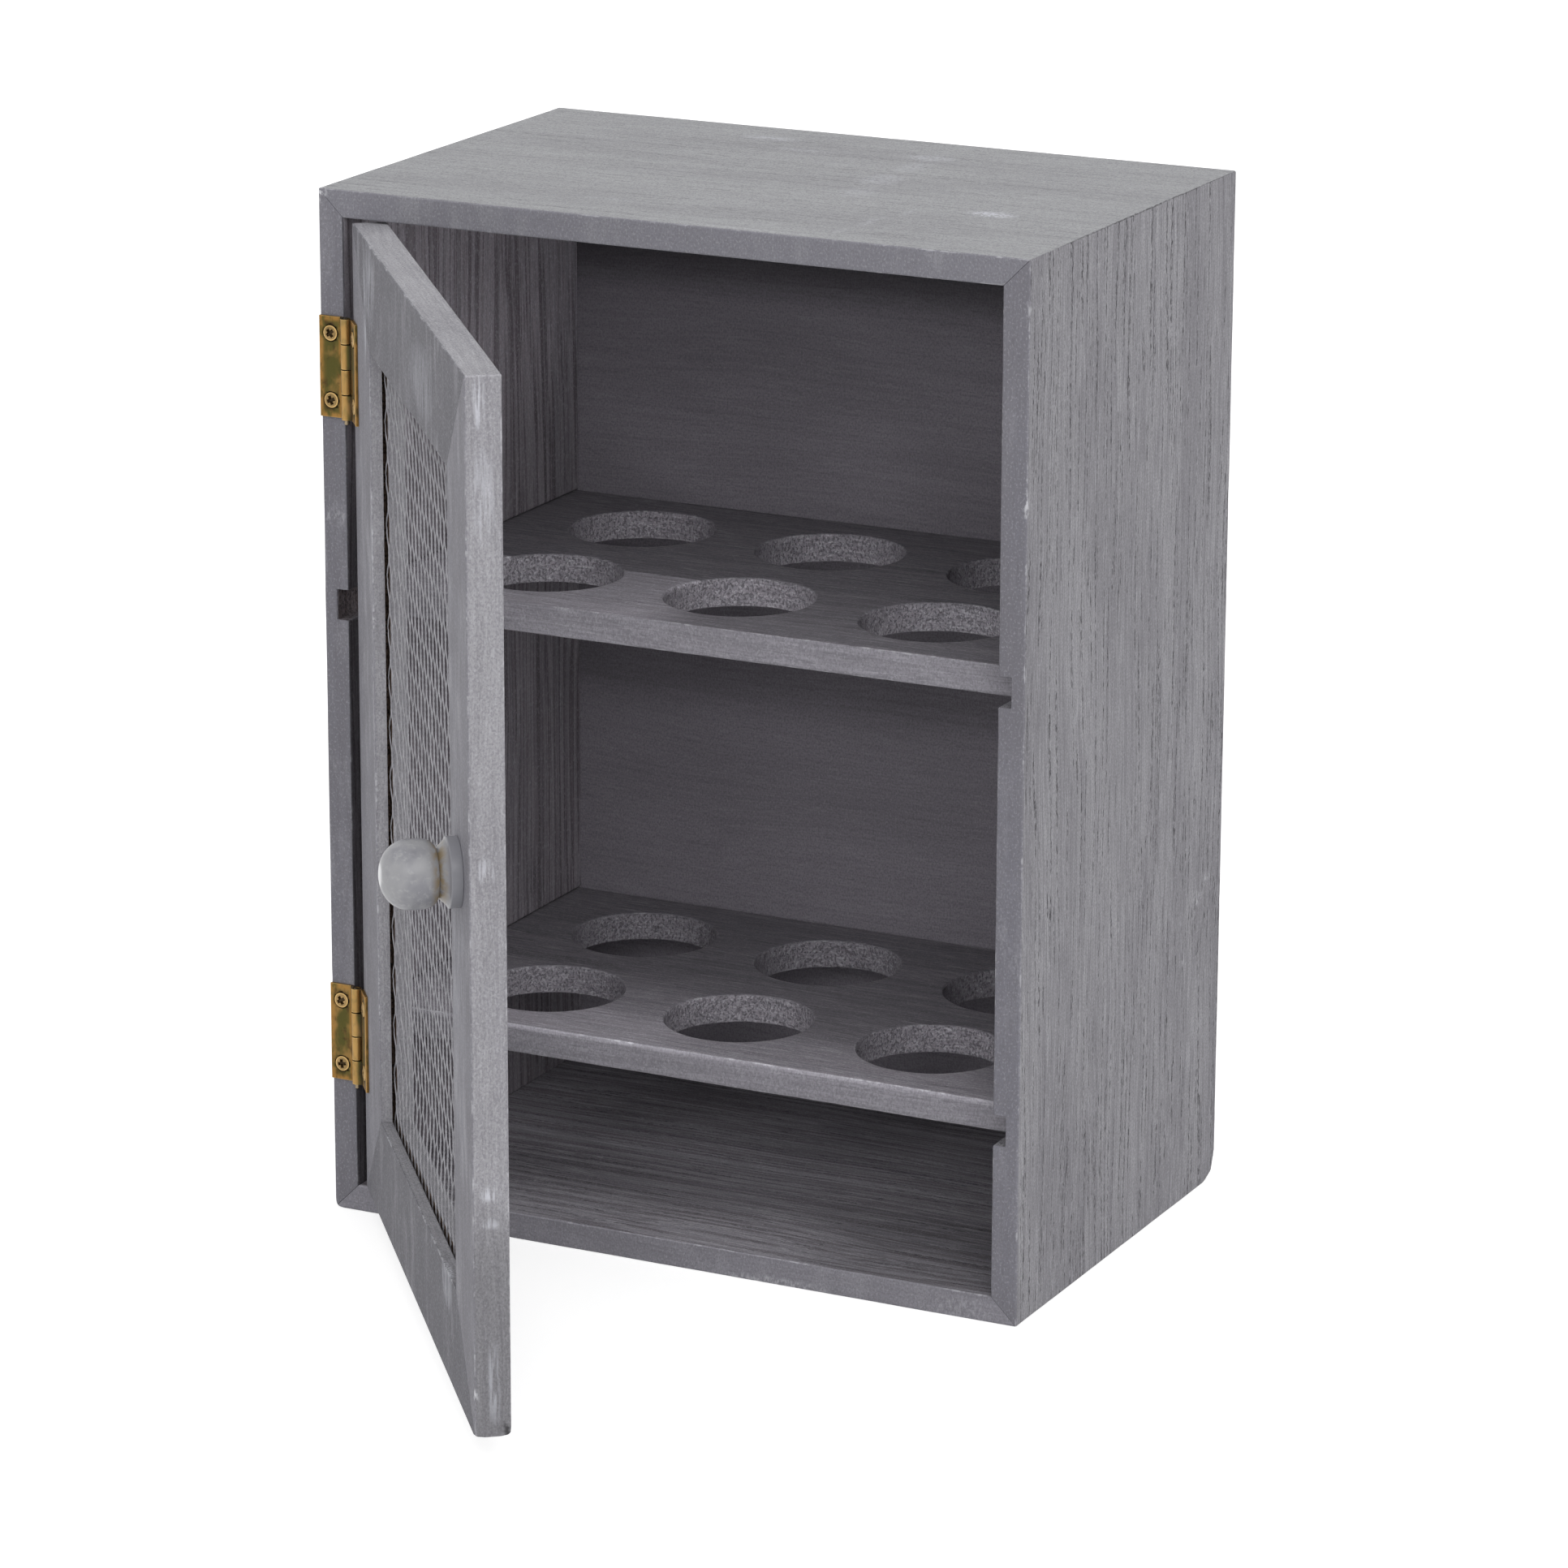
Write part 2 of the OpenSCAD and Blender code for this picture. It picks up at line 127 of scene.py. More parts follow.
def ripple(points: np.ndarray, size: float, seed: int) -> np.ndarray:
    """Value noise: a random number at each corner of a cubic lattice, blended smoothly inside a cell.

    Args:
        points: Points, one a row.
        size: Width of a lattice cell.
        seed: Picks the random numbers.

    Returns:
        One number from -1 to 1 for each point.
    """
    place = points / size + 0.37 * seed
    cell = np.floor(place).astype(np.int64)
    part = place - cell
    part = part * part * (3.0 - 2.0 * part)
    total = np.zeros(len(points))
    for corner in itertools.product((0, 1), repeat=3):
        c = cell + np.array(corner)
        key = (c[:, 0] * 73856093) ^ (c[:, 1] * 19349663) ^ (c[:, 2] * 83492791) ^ (seed * 265443576)
        key = ((key ^ (key >> 13)) * 1274126177) & 0x7FFFFFFF
        key = ((key ^ (key >> 15)) * 668265263) & 0x7FFFFFFF
        weight = np.prod(np.where(np.array(corner) == 1, part, 1.0 - part), axis=1)
        total += weight * (key / 0x3FFFFFFF - 1.0)
    return total


def samples(length: float, step: float, extra: tuple[float, ...] = ()) -> np.ndarray:
    """Sample places along a length, close together at both ends where the arrises are eased.

    Args:
        length: Length of the line.
        step: Spacing away from the ends.
        extra: Further places that need a sample.

    Returns:
        The places, sorted.
    """
    near = NEAR_END[NEAR_END < length / 2 - 0.05]
    last = near[-1] if len(near) else 0.0
    count = max(2, int(math.ceil((length - 2 * last) / step)) + 1)
    middle = np.linspace(last, length - last, count)
    places = np.concatenate([near, length - near, middle, np.array(extra, float)])
    return np.unique(np.round(places, 4))


def quads(ids: np.ndarray) -> np.ndarray:
    """Four-sided faces over a grid of vertex numbers; the normal is the first axis cross the second."""
    return np.stack([ids[:-1, :-1], ids[1:, :-1], ids[1:, 1:], ids[:-1, 1:]], axis=-1).reshape(-1, 4)


@dataclass
class Skin:
    """Surface of one piece: points in millimetres, faces as rows of vertex numbers, and point values."""

    points: np.ndarray
    faces: list[np.ndarray]
    values: dict[str, np.ndarray] = field(default_factory=dict)

    def joined(self, *others: "Skin") -> "Skin":
        """This skin and others as one.

        Args:
            others: The skins to add.

        Returns:
            The joined skin. A value that one of them lacks is 0 there.
        """
        parts = (self, *others)
        starts = np.cumsum([0] + [len(p.points) for p in parts])
        faces = [f + start for p, start in zip(parts, starts) for f in p.faces]
        names = sorted({name for p in parts for name in p.values})
        values = {name: np.concatenate([p.values.get(name, np.zeros(len(p.points))) for p in parts])
                  for name in names}
        return Skin(np.concatenate([p.points for p in parts]), faces, values)

    def placed(self, lay: Lay, origin: Point) -> "Skin":
        """The skin laid in the cupboard.

        Args:
            lay: Where its local axes point.
            origin: Where its local origin goes.

        Returns:
            The placed skin, turned right side out if the axes mirror it.
        """
        turn = np.array(lay.value, float)
        step = -1 if np.linalg.det(turn) < 0 else 1
        return Skin(self.points @ turn + np.array(origin), [f[:, ::step] for f in self.faces], self.values)

    def on_door(self) -> "Skin":
        """A skin drawn on the closed door, turned about the hinge pins to where the door stands ajar."""
        return Skin((self.points - PIN) @ SWING_TURN + PIN, self.faces, self.values)

    def welded(self) -> "Skin":
        """The skin with points that coincide made one, and faces that shrink to nothing dropped.

        Returns:
            The welded skin.
        """
        _, keep, new = np.unique(np.round(self.points, 3), axis=0, return_index=True, return_inverse=True)
        faces = []
        for f in self.faces:
            g = new.reshape(-1)[f]
            s = np.sort(g, axis=1)
            faces.append(g[(np.diff(s, axis=1) > 0).all(axis=1)])
        return Skin(self.points[keep], faces, {k: v[keep] for k, v in self.values.items()})


def shell(us: np.ndarray, vs: np.ndarray, ws: np.ndarray) -> Skin:
    """Closed skin of a block, sampled on three lines: each of its six faces is a grid of two of them.

    Args:
        us: Sample places along x.
        vs: Sample places along y.
        ws: Sample places along z.

    Returns:
        The skin, with its faces outwards.
    """
    ids = np.arange(len(us) * len(vs) * len(ws)).reshape(len(us), len(vs), len(ws))
    faces = np.concatenate([quads(side) for side in (
        ids[:, :, -1], ids[:, :, 0].T, ids[-1], ids[0].T, ids[:, -1, :].T, ids[:, 0, :],
    )])
    used, new = np.unique(faces, return_inverse=True)
    i, j, k = np.unravel_index(used, ids.shape)
    return Skin(np.stack([us[i], vs[j], ws[k]], axis=1), [new.reshape(-1, 4)])


def eased(points: np.ndarray, low: np.ndarray, high: np.ndarray, radius: np.ndarray) -> np.ndarray:
    """Rounds a block's arrises: what stands further than the radius from the block shrunk by the radius
    is drawn straight in to that distance.

    Args:
        points: Points on or in the block.
        low: The block's lowest corner.
        high: The block's highest corner.
        radius: Radius of the arrises, one for each point.

    Returns:
        The moved points.
    """
    r = radius[:, None]
    inner = np.clip(points, low + r, high - r)
    out = points - inner
    reach = np.linalg.norm(out, axis=1)[:, None]
    return inner + out * np.minimum(1.0, r / np.maximum(reach, 1e-9))


def arris_distance(points: np.ndarray, low: np.ndarray, high: np.ndarray) -> np.ndarray:
    """Distance from a point on a block's skin to the nearest arris: its second smallest face distance."""
    d = np.minimum(np.abs(points - low), np.abs(high - points))
    return np.minimum(np.sort(d, axis=1)[:, 1], FAR)


@dataclass(frozen=True)
class Knock:
    """A knocked corner: where it is, and the radius that the blow left."""

    at: Point
    radius: float


def worn_radius(points: np.ndarray, base: float, seed: int, knocks: tuple[Knock, ...] = ()) -> np.ndarray:
    """Radius of a worn arris: it drifts over 14 mm, a few dents over 5 mm take more off, and near a knocked
    corner it is the knock's, fading out at three times that radius.

    Args:
        points: Points in millimetres.
        base: Usual radius.
        seed: Picks the wear.
        knocks: The knocked corners.

    Returns:
        One radius for each point.
    """
    drift = 1.0 + 0.25 * ripple(points, 14.0, seed)
    dents = smooth(ripple(points, 5.0, seed + 1), 0.55, 0.9)
    radius = base * drift + 0.4 * base * dents
    for knock in knocks:
        away = np.linalg.norm(points - np.array(knock.at), axis=1)
        fade = 1.0 - smooth(away, 0.3 * knock.radius, 3.0 * knock.radius)
        radius = np.maximum(radius, knock.radius * fade)
    return radius


def lathe(radii: np.ndarray, heights: np.ndarray, around: int) -> Skin:
    """Turns a profile about the z axis: x = r cos a, y = r sin a. Both its ends lie on the axis.

    Args:
        radii: The profile's radii, 0 at both ends.
        heights: The profile's heights, rising.
        around: Points round the axis.

    Returns:
        The turned skin.
    """
    turn = np.linspace(0.0, 2.0 * math.pi, around, endpoint=False)
    r, h = radii[1:-1], heights[1:-1]
    rings = np.stack([
        np.outer(r, np.cos(turn)), np.outer(r, np.sin(turn)), np.repeat(h[:, None], around, axis=1)
    ], axis=-1).reshape(-1, 3)
    points = np.concatenate([rings, [[0.0, 0.0, heights[0]], [0.0, 0.0, heights[-1]]]])
    ids = np.arange(len(rings)).reshape(len(r), around)
    loop = np.concatenate([ids, ids[:, :1]], axis=1)
    foot = np.stack([np.full(around, len(rings)), loop[0, 1:], loop[0, :-1]], axis=1)
    head = np.stack([np.full(around, len(rings) + 1), loop[-1, :-1], loop[-1, 1:]], axis=1)
    return Skin(points, [quads(loop.T), foot, head])


def tubes(paths: np.ndarray, radius: float, sides: int) -> Skin:
    """Round tubes along paths that run side by side. A ring stands square to its path, on the y axis made
    perpendicular to the path and the axis square to both.

    Args:
        paths: Path points, as wires x points x 3.
        radius: Radius of the wire.
        sides: Sides of a ring.

    Returns:
        All the tubes as one skin, with flat ends.
    """
    way = np.gradient(paths, axis=1)
    way /= np.linalg.norm(way, axis=2, keepdims=True)
    deep = np.array([0.0, 1.0, 0.0]) - way * way[:, :, 1:2]
    deep /= np.linalg.norm(deep, axis=2, keepdims=True)
    side = np.cross(deep, way)
    turn = np.linspace(0.0, 2.0 * math.pi, sides, endpoint=False)[None, None, :, None]
    rings = paths[:, :, None, :] + radius * (np.cos(turn) * side[:, :, None] + np.sin(turn) * deep[:, :, None])
    wires, count = paths.shape[:2]
    ids = np.arange(wires * count * sides).reshape(wires, count, sides)
    loop = np.concatenate([ids, ids[:, :, :1]], axis=2)
    body = np.stack([loop[:, :-1, :-1], loop[:, :-1, 1:], loop[:, 1:, 1:], loop[:, 1:, :-1]], axis=-1)
    return Skin(rings.reshape(-1, 3), [body.reshape(-1, 4)[:, ::-1], ids[:, 0, :], ids[:, -1, ::-1]])


def linear(hex_colour: str) -> tuple[float, float, float, float]:
    """Linear colour of an sRGB hex value.

    Args:
        hex_colour: The colour, such as "#8d8c91".

    Returns:
        Red, green, blue and alpha, linear.
    """
    parts = [int(hex_colour[i:i + 2], 16) / 255.0 for i in (1, 3, 5)]
    return (*[p / 12.92 if p <= 0.04045 else ((p + 0.055) / 1.055) ** 2.4 for p in parts], 1.0)


def add_node(tree: bpy.types.NodeTree, kind: str, settings: dict, links: dict) -> bpy.types.Node:
    """Adds a shader node.

    Args:
        tree: Node tree that gets it.
        kind: Blender's name for the kind of node, after its first word ShaderNode.
        settings: Properties of the node, by name.
        links: Inputs by name or number, each a plain value or another node's output.

    Returns:
        The new node.
    """
    node = tree.nodes.new("ShaderNode" + kind)
    for name, value in settings.items():
        setattr(node, name, value)
    for name, value in links.items():
        if isinstance(value, Socket):
            tree.links.new(value, node.inputs[name])
        else:
            node.inputs[name].default_value = value
    return node


class Coat:
    """A Principled material while it is made: its masks, and its colour, laid on in layers."""

    def __init__(self, name: str, ground: str, inputs: dict[str, float]) -> None:
        """Starts a material.

        Args:
            name: The material's name.
            ground: Colour under all layers.
            inputs: Plain values of the shader's inputs.
        """
        self.material = bpy.data.materials.new(name)
        self.material.use_nodes = True
        self.tree = self.material.node_tree
        self.tree.nodes.clear()
        self.shader = add_node(self.tree, "BsdfPrincipled", {}, {"Base Color": linear(ground), **inputs})
        self.output = add_node(self.tree, "OutputMaterial", {}, {"Surface": self.shader.outputs[0]})
        self.place = self.node("TexCoord", {}, {}, "Object")
        self.colour: str | Socket = ground

    def node(self, kind: str, settings: dict, links: dict, output: int | str = 0) -> Socket:
        """Adds a node and gives one output of it."""
        return add_node(self.tree, kind, settings, links).outputs[output]

    def math(self, operation: str, *inputs: float | Socket) -> Socket:
        """Result of one sum on two or three numbers or masks."""
        return self.node("Math", {"operation": operation}, dict(enumerate(inputs)))

    def times(self, *masks: float | Socket) -> Socket:
        """Product of masks and numbers."""
        return functools.reduce(lambda a, b: self.math("MULTIPLY", a, b), masks)

    def value(self, name: str) -> Socket:
        """One of the mesh's point values."""
        return self.node("Attribute", {"attribute_name": name}, {}, "Fac")

    def ranged(
        self, value: Socket, low: float = 0.0, high: float | Socket = 1.0,
        ends: tuple[float, float] = (0.0, 1.0), step: str = "LINEAR",
    ) -> Socket:
        """A value carried over to another range.

        Args:
            value: The value.
            low: Value at which the result is the first end.
            high: Value at which it is the second.
            ends: The two ends.
            step: Blender's name for the way between them.

        Returns:
            The result.
        """
        return self.node("MapRange", {"interpolation_type": step}, {
            "Value": value, "From Min": low, "From Max": high, "To Min": ends[0], "To Max": ends[1],
        })

    def blobs(
        self, size: Point, low: float, high: float, seed: float, detail: float = 2.0, place: Socket | None = None,
    ) -> Socket:
        """Mask of cloud noise: 0 below low, 1 above high, with a smooth step between.

        Args:
            size: Length of a blob along x, y and z, in millimetres.
            low: Noise level where the mask starts.
            high: Noise level where the mask is full.
            seed: Moves the pattern, so that two masks differ.
            detail: Finer layers in the noise.
            place: Coordinates in metres, Object coordinates if not given.

        Returns:
            The mask.
        """
        spread = self.node("Mapping", {"vector_type": "TEXTURE"}, {
            "Vector": place or self.place, "Location": (0.113 * seed, 0.071 * seed, 0.177 * seed),
            "Scale": tuple(s * MM for s in size),
        })
        cloud = self.node("TexNoise", {"noise_dimensions": "3D"}, {
            "Vector": spread, "Scale": 1.0, "Detail": detail, "Roughness": 0.55,
        })
        return self.ranged(cloud, low, high, step="SMOOTHSTEP")

    def mixed(self, under: str | Socket, over: str | Socket, *masks: float | Socket) -> Socket:
        """One colour over another where the product of masks is 1."""
        under, over = (linear(c) if isinstance(c, str) else c for c in (under, over))
        return self.node("Mix", {"data_type": "RGBA"}, {0: self.times(*masks), 6: under, 7: over}, 2)

    def lay(self, over: str | Socket, *masks: float | Socket) -> None:
        """Lays a colour over what is there where the product of masks is 1."""
        self.colour = self.mixed(self.colour, over, *masks)

    def bump(self, height: Socket, strength: float | Socket, distance: float, **under: Socket) -> Socket:
        """Normal of a relief, its distance in metres, over another Normal if one is given."""
        return self.node("Bump", {}, {"Strength": strength, "Distance": distance, "Height": height, **under})

    def done(self, **links: Socket) -> bpy.types.Material:
        """Links the colour and other inputs to the shader.

        Args:
            **links: Masks by the shader's input.

        Returns:
            The finished material.
        """
        for name, value in {"Base Color": self.colour, **links}.items():
            self.tree.links.new(value, self.shader.inputs[name])
        return self.material


@dataclass(frozen=True)
class Finish:
    """What a piece is made of and coated with, by the name of its material."""

    name: str

    def material(self) -> bpy.types.Material:
        """Builds the finish as a material."""
        raise NotImplementedError


@dataclass(frozen=True)
class GreyWash(Finish):
    """Light open-grained wood, paulownia by its look, under a thin matt grey wash.

    The wash is brushed on along the grain: the pores and the soft lines of the grain stay dark, the brush leaves
    pale smears, and rubbed places and arrises go chalky. The sanded front faces are a little more violet and hide
    the pores, and their own colour is set darker or lighter than the wash as painted shade and light. Real pores
    are about 0.2 mm wide and 1 to 2 mm long, in files a few millimetres apart; they are drawn 0.3 mm wide, so that
    they show. The colours come first, then how much of each kind of mark there is.
    """

    grain: Grain
    wash: str = "#929196"
    front: str = "#82818a"
    deep: str = "#716f75"
    pale: str = "#b2b1b7"
    pore: str = "#3d3b3f"
    chalk: str = "#cfcfd4"
    stripe: str = "#4b4247"
    streak: str = "#c2c3cb"
    grime: str = "#29272a"
    bare: str = "#6b5646"
    torn: str = "#241c17"
    pores: float = 0.5
    lines: float = 0.5
    stripes: float = 0.0
    clouds: float = 0.35
    mottle: float = 0.1
    smears: float = 0.2
    scuffs: float = 0.1
    rub: float = 0.5
    speckle: float = 0.5
    seed: float = 1.0

    def grained(self, coat: Coat) -> Socket:
        """Coordinates with z along the grain, which sways 5 mm over 110 mm.

        Args:
            coat: Material that gets them.

        Returns:
            The coordinates.
        """
        turned = coat.node("Mapping", {"vector_type": "TEXTURE"}, {
            "Vector": coat.place, "Rotation": self.grain.value,
        })
        slow = coat.node("Mapping", {"vector_type": "TEXTURE"}, {
            "Vector": turned, "Scale": (0.03, 0.03, 0.11), "Location": (0.05 * self.seed, 0.0, 0.03),
        })
        sway = coat.node("TexNoise", {}, {"Vector": slow, "Scale": 1.0, "Detail": 1.0}, 1)
        return coat.node("VectorMath", {"operation": "MULTIPLY_ADD"}, {0: sway, 1: (0.01, 0.01, 0.0), 2: turned})

    def material(self) -> bpy.types.Material:
        """Builds the wash: wood and wash, with the front faces' colour partly painted shade and light, lines of
        the grain, brush marks, pores, specks, scuffs, rubbed arrises, sawn walls, dirt, stretches of painted light
        and shade, and bare wood.

        Returns:
            The material.
        """
        coat = Coat(self.name, self.wash, {"Specular IOR Level": 0.35})
        along, seed = self.grained(coat), self.seed
        plain, outer, arris, sawn, tone, bare = (
            coat.value(name) for name in ("plain", "outer", "arris", "sawn", "tone", "bare"))
        chalk, smeared, dirt = (coat.value(wear.value) for wear in Wear)
        shown, inside = (coat.math("MULTIPLY_ADD", face, -0.85, 1.0) for face in (plain, outer))
        brushed = coat.math("MULTIPLY_ADD", plain, 0.8, 0.2)

        # Front faces take the front colour: more violet, and darker or lighter than the wash as painted shade and
        # light.
        coat.lay(self.front, plain)
        coat.lay(self.deep, coat.blobs((20, 20, 80), 0.42, 0.66, seed, place=along), self.clouds)
        coat.lay(self.deep, coat.blobs((8, 8, 11), 0.40, 0.62, seed + 2, 3.0), brushed, self.mottle)
        fine = coat.times(coat.blobs((0.36, 0.36, 17), 0.40, 0.64, seed + 3, 3.0, along), shown)
        coat.lay(self.deep, fine, 0.8 * self.lines)
        light = coat.times(coat.blobs((0.45, 0.45, 9), 0.50, 0.70, seed + 4, 2.0, along), shown)
        coat.lay(self.pale, light, 0.55 * self.lines)
        rings = coat.blobs((1.6, 1.6, 190), 0.54, 0.62, seed + 5, 1.0, along)
        coat.lay(self.deep, rings, shown, 0.6 * self.lines)
        bands = coat.blobs((1.3, 1.3, 300), 0.44, 0.62, seed + 6, 3.0, along)
        coat.lay(self.stripe, bands, shown, inside, self.stripes)
        strokes = coat.blobs((4.2, 4.2, 18), 0.42, 0.72, seed + 7, 3.0)
        coat.lay(self.pale, strokes, coat.blobs((16, 16, 30), 0.40, 0.60, seed + 8), brushed, self.smears)
        files = coat.math("MAXIMUM", coat.blobs((0.85, 0.85, 120), 0.60, 0.67, seed + 13, 0.0, along), 0.06)
        pit = coat.times(coat.blobs((0.34, 0.34, 2.1), 0.48, 0.57, seed + 11, 1.0, along), files, shown)
        coat.lay(self.pore, pit, self.pores)
        coat.lay(self.deep, coat.blobs((0.45, 0.45, 0.6), 0.46, 0.62, seed + 15), self.speckle)
        coat.lay(self.pale, coat.blobs((0.5, 0.5, 0.7), 0.52, 0.68, seed + 16), 0.6 * self.speckle)

        crumbs = coat.blobs((0.8, 0.8, 1.6), 0.44, 0.60, seed + 19, 4.0)
        rare = coat.times(coat.blobs((11, 11, 17), 0.62, 0.70, seed + 17), self.scuffs)
        coat.lay(self.chalk, coat.math("MAXIMUM", rare, chalk), crumbs)
        coat.lay(self.streak, smeared, coat.blobs((0.7, 0.7, 8), 0.40, 0.60, seed + 18, 3.0))
        uneven = coat.blobs((1.6, 1.6, 1.6), 0.36, 0.62, seed + 25, 4.0)
        patchy = coat.times(uneven, coat.blobs((9, 9, 9), 0.46, 0.62, seed + 23))
        reach = coat.math("MULTIPLY_ADD", patchy, 0.5, 0.12)
        rubbed = coat.ranged(arris, 0.0, reach, (1.0, 0.0), "SMOOTHSTEP")
        coat.lay(self.chalk, rubbed, coat.math("MULTIPLY_ADD", patchy, 0.85, 0.15), self.rub)
        grit = coat.blobs((0.55, 0.55, 0.75), 0.50, 0.64, seed + 29, 3.0)
        coat.lay(self.pore, grit, sawn, 0.6)
        coat.lay(self.grime, dirt, uneven)
        # Painted light and shade: this value scales the colour's level up or down.
        level = coat.math("ADD", tone, 1.0)
        coat.colour = coat.node("VectorMath", {"operation": "SCALE"}, {0: coat.colour, "Scale": level})
        coat.lay(coat.mixed(self.bare, self.torn, grit), bare)

        sunk = coat.math("MAXIMUM", pit, coat.times(fine, 0.3))
        relief = coat.math("MULTIPLY_ADD", sunk, -1.0, coat.times(crumbs, 0.25))
        grained = coat.bump(relief, 0.6, 0.0001)
        return coat.done(Roughness=coat.ranged(light, ends=(0.74, 0.6)),
                         Normal=coat.bump(grit, coat.times(sawn, 0.9), 0.00035, Normal=grained))


@dataclass(frozen=True)
class AgedBrass(Finish):
    """Brass-plated steel sheet, pressed and rolled, gone golden brown with an olive patina in clouds, and with a
    brighter border where hands and cloth have rubbed it. A pale gold painted highlight lies on its arrises,
    knuckle crests and screw rims, and a dark painted shade, mixed with grime, lies in its creases, knuckle gaps
    and screw crosses."""

    metal: str = "#85683a"
    patina: str = "#4a4a22"
    tarnish: str = "#3f2c1a"
    border: str = "#96703a"
    shine: str = "#dcb878"
    grime: str = "#1c130b"
    clouds: float = 0.9
    seed: float = 1.0

    def material(self) -> bpy.types.Material:
        """Builds the brass as a material.

        Returns:
            The material.
        """
        coat = Coat(self.name, self.metal, {"Metallic": 0.85})
        cloud = coat.blobs((4.5, 4.5, 7), 0.34, 0.56, self.seed, 3.0)
        coat.lay(self.patina, cloud, self.clouds)
        coat.lay(self.tarnish, coat.blobs((2.2, 2.2, 3.0), 0.50, 0.66, self.seed + 3, 4.0), 0.75 * self.clouds)
        coat.lay(self.border, coat.value("border"), coat.blobs((1.6, 1.6, 3.0), 0.30, 0.56, self.seed + 5, 3.0))
        # Painted highlight on arrises, knuckle crests and screw rims.
        coat.lay(self.shine, coat.value("shine"))
        # Painted shade, mixed with grime, in creases, knuckle gaps and screw crosses.
        coat.lay(self.grime, coat.value("grime"))
        scratch = coat.blobs((0.25, 0.25, 6), 0.45, 0.62, self.seed + 7, 3.0)
        return coat.done(Roughness=coat.ranged(cloud, ends=(0.33, 0.5)), Normal=coat.bump(scratch, 0.25, 0.00004))


@dataclass(frozen=True)
class DrawnSteel(Finish):
    """Bright drawn steel of pins and brads: fine lengthwise drawing marks and a few dull spots."""

    metal: str = "#cfccc6"
    dull: str = "#8d8a84"

    def material(self) -> bpy.types.Material:
        """Builds the steel as a material.

        Returns:
            The material.
        """
        coat = Coat(self.name, self.metal, {"Metallic": 1.0})
        coat.lay(self.dull, coat.blobs((1.2, 1.2, 1.6), 0.5, 0.66, 4.0), 0.8)
        marks = coat.blobs((0.12, 0.12, 4), 0.42, 0.62, 2.0, 3.0)
        return coat.done(Roughness=coat.ranged(marks, ends=(0.22, 0.4)))


@dataclass(frozen=True)
class PaintedWire(Finish):
    """Galvanised wire brushed with the frame's grey wash: matt, uneven, pale where the brush caught it."""

    paint: str = "#96959a"
    thin: str = "#b0afb4"
    dirt: str = "#77767b"

    def material(self) -> bpy.types.Material:
        """Builds the painted wire as a material.

        Returns:
            The material.
        """
        coat = Coat(self.name, self.paint, {"Roughness": 0.55})
        coat.lay(self.dirt, coat.blobs((9, 9, 16), 0.42, 0.62, 7.0), 0.4)
        worn = coat.blobs((1.4, 1.4, 2.2), 0.48, 0.64, 3.0, 3.0)
        coat.lay(self.thin, worn, 0.5)
        return coat.done(Normal=coat.bump(worn, 0.4, 0.00006))


@dataclass(frozen=True)
class TurnedWood(Finish):
    """Turned close-grained knob under a smooth grey satin wash, worn to yellow bare wood at its neck, with a
    painted highlight on its tip.
    """

    paint: str = "#98989b"
    cool: str = "#85858b"
    pale: str = "#a9a9ab"
    bare: str = "#8d7a57"
    # Colour of the painted highlight on the tip.
    tip: str = "#e8e8ea"

    def material(self) -> bpy.types.Material:
        """Builds the knob's finish as a material.

        Returns:
            The material.
        """
        coat = Coat(self.name, self.paint, {"Roughness": 0.34})
        coat.lay(self.cool, coat.blobs((7, 7, 9), 0.40, 0.64, 5.0, 3.0))
        mottle = coat.blobs((1.3, 1.3, 1.3), 0.5, 0.7, 9.0, 4.0)
        coat.lay(self.pale, mottle, 0.55)
        coat.lay(self.cool, coat.value("foot"))
        # Painted highlight on the knob's tip.
        coat.lay(self.tip, coat.value(Wear.CHALK.value))
        coat.lay(self.bare, coat.value("bare"), coat.blobs((2.5, 2.5, 2.5), 0.34, 0.58, 13.0, 3.0), 0.85)
        return coat.done(Normal=coat.bump(mottle, 0.3, 0.00005))


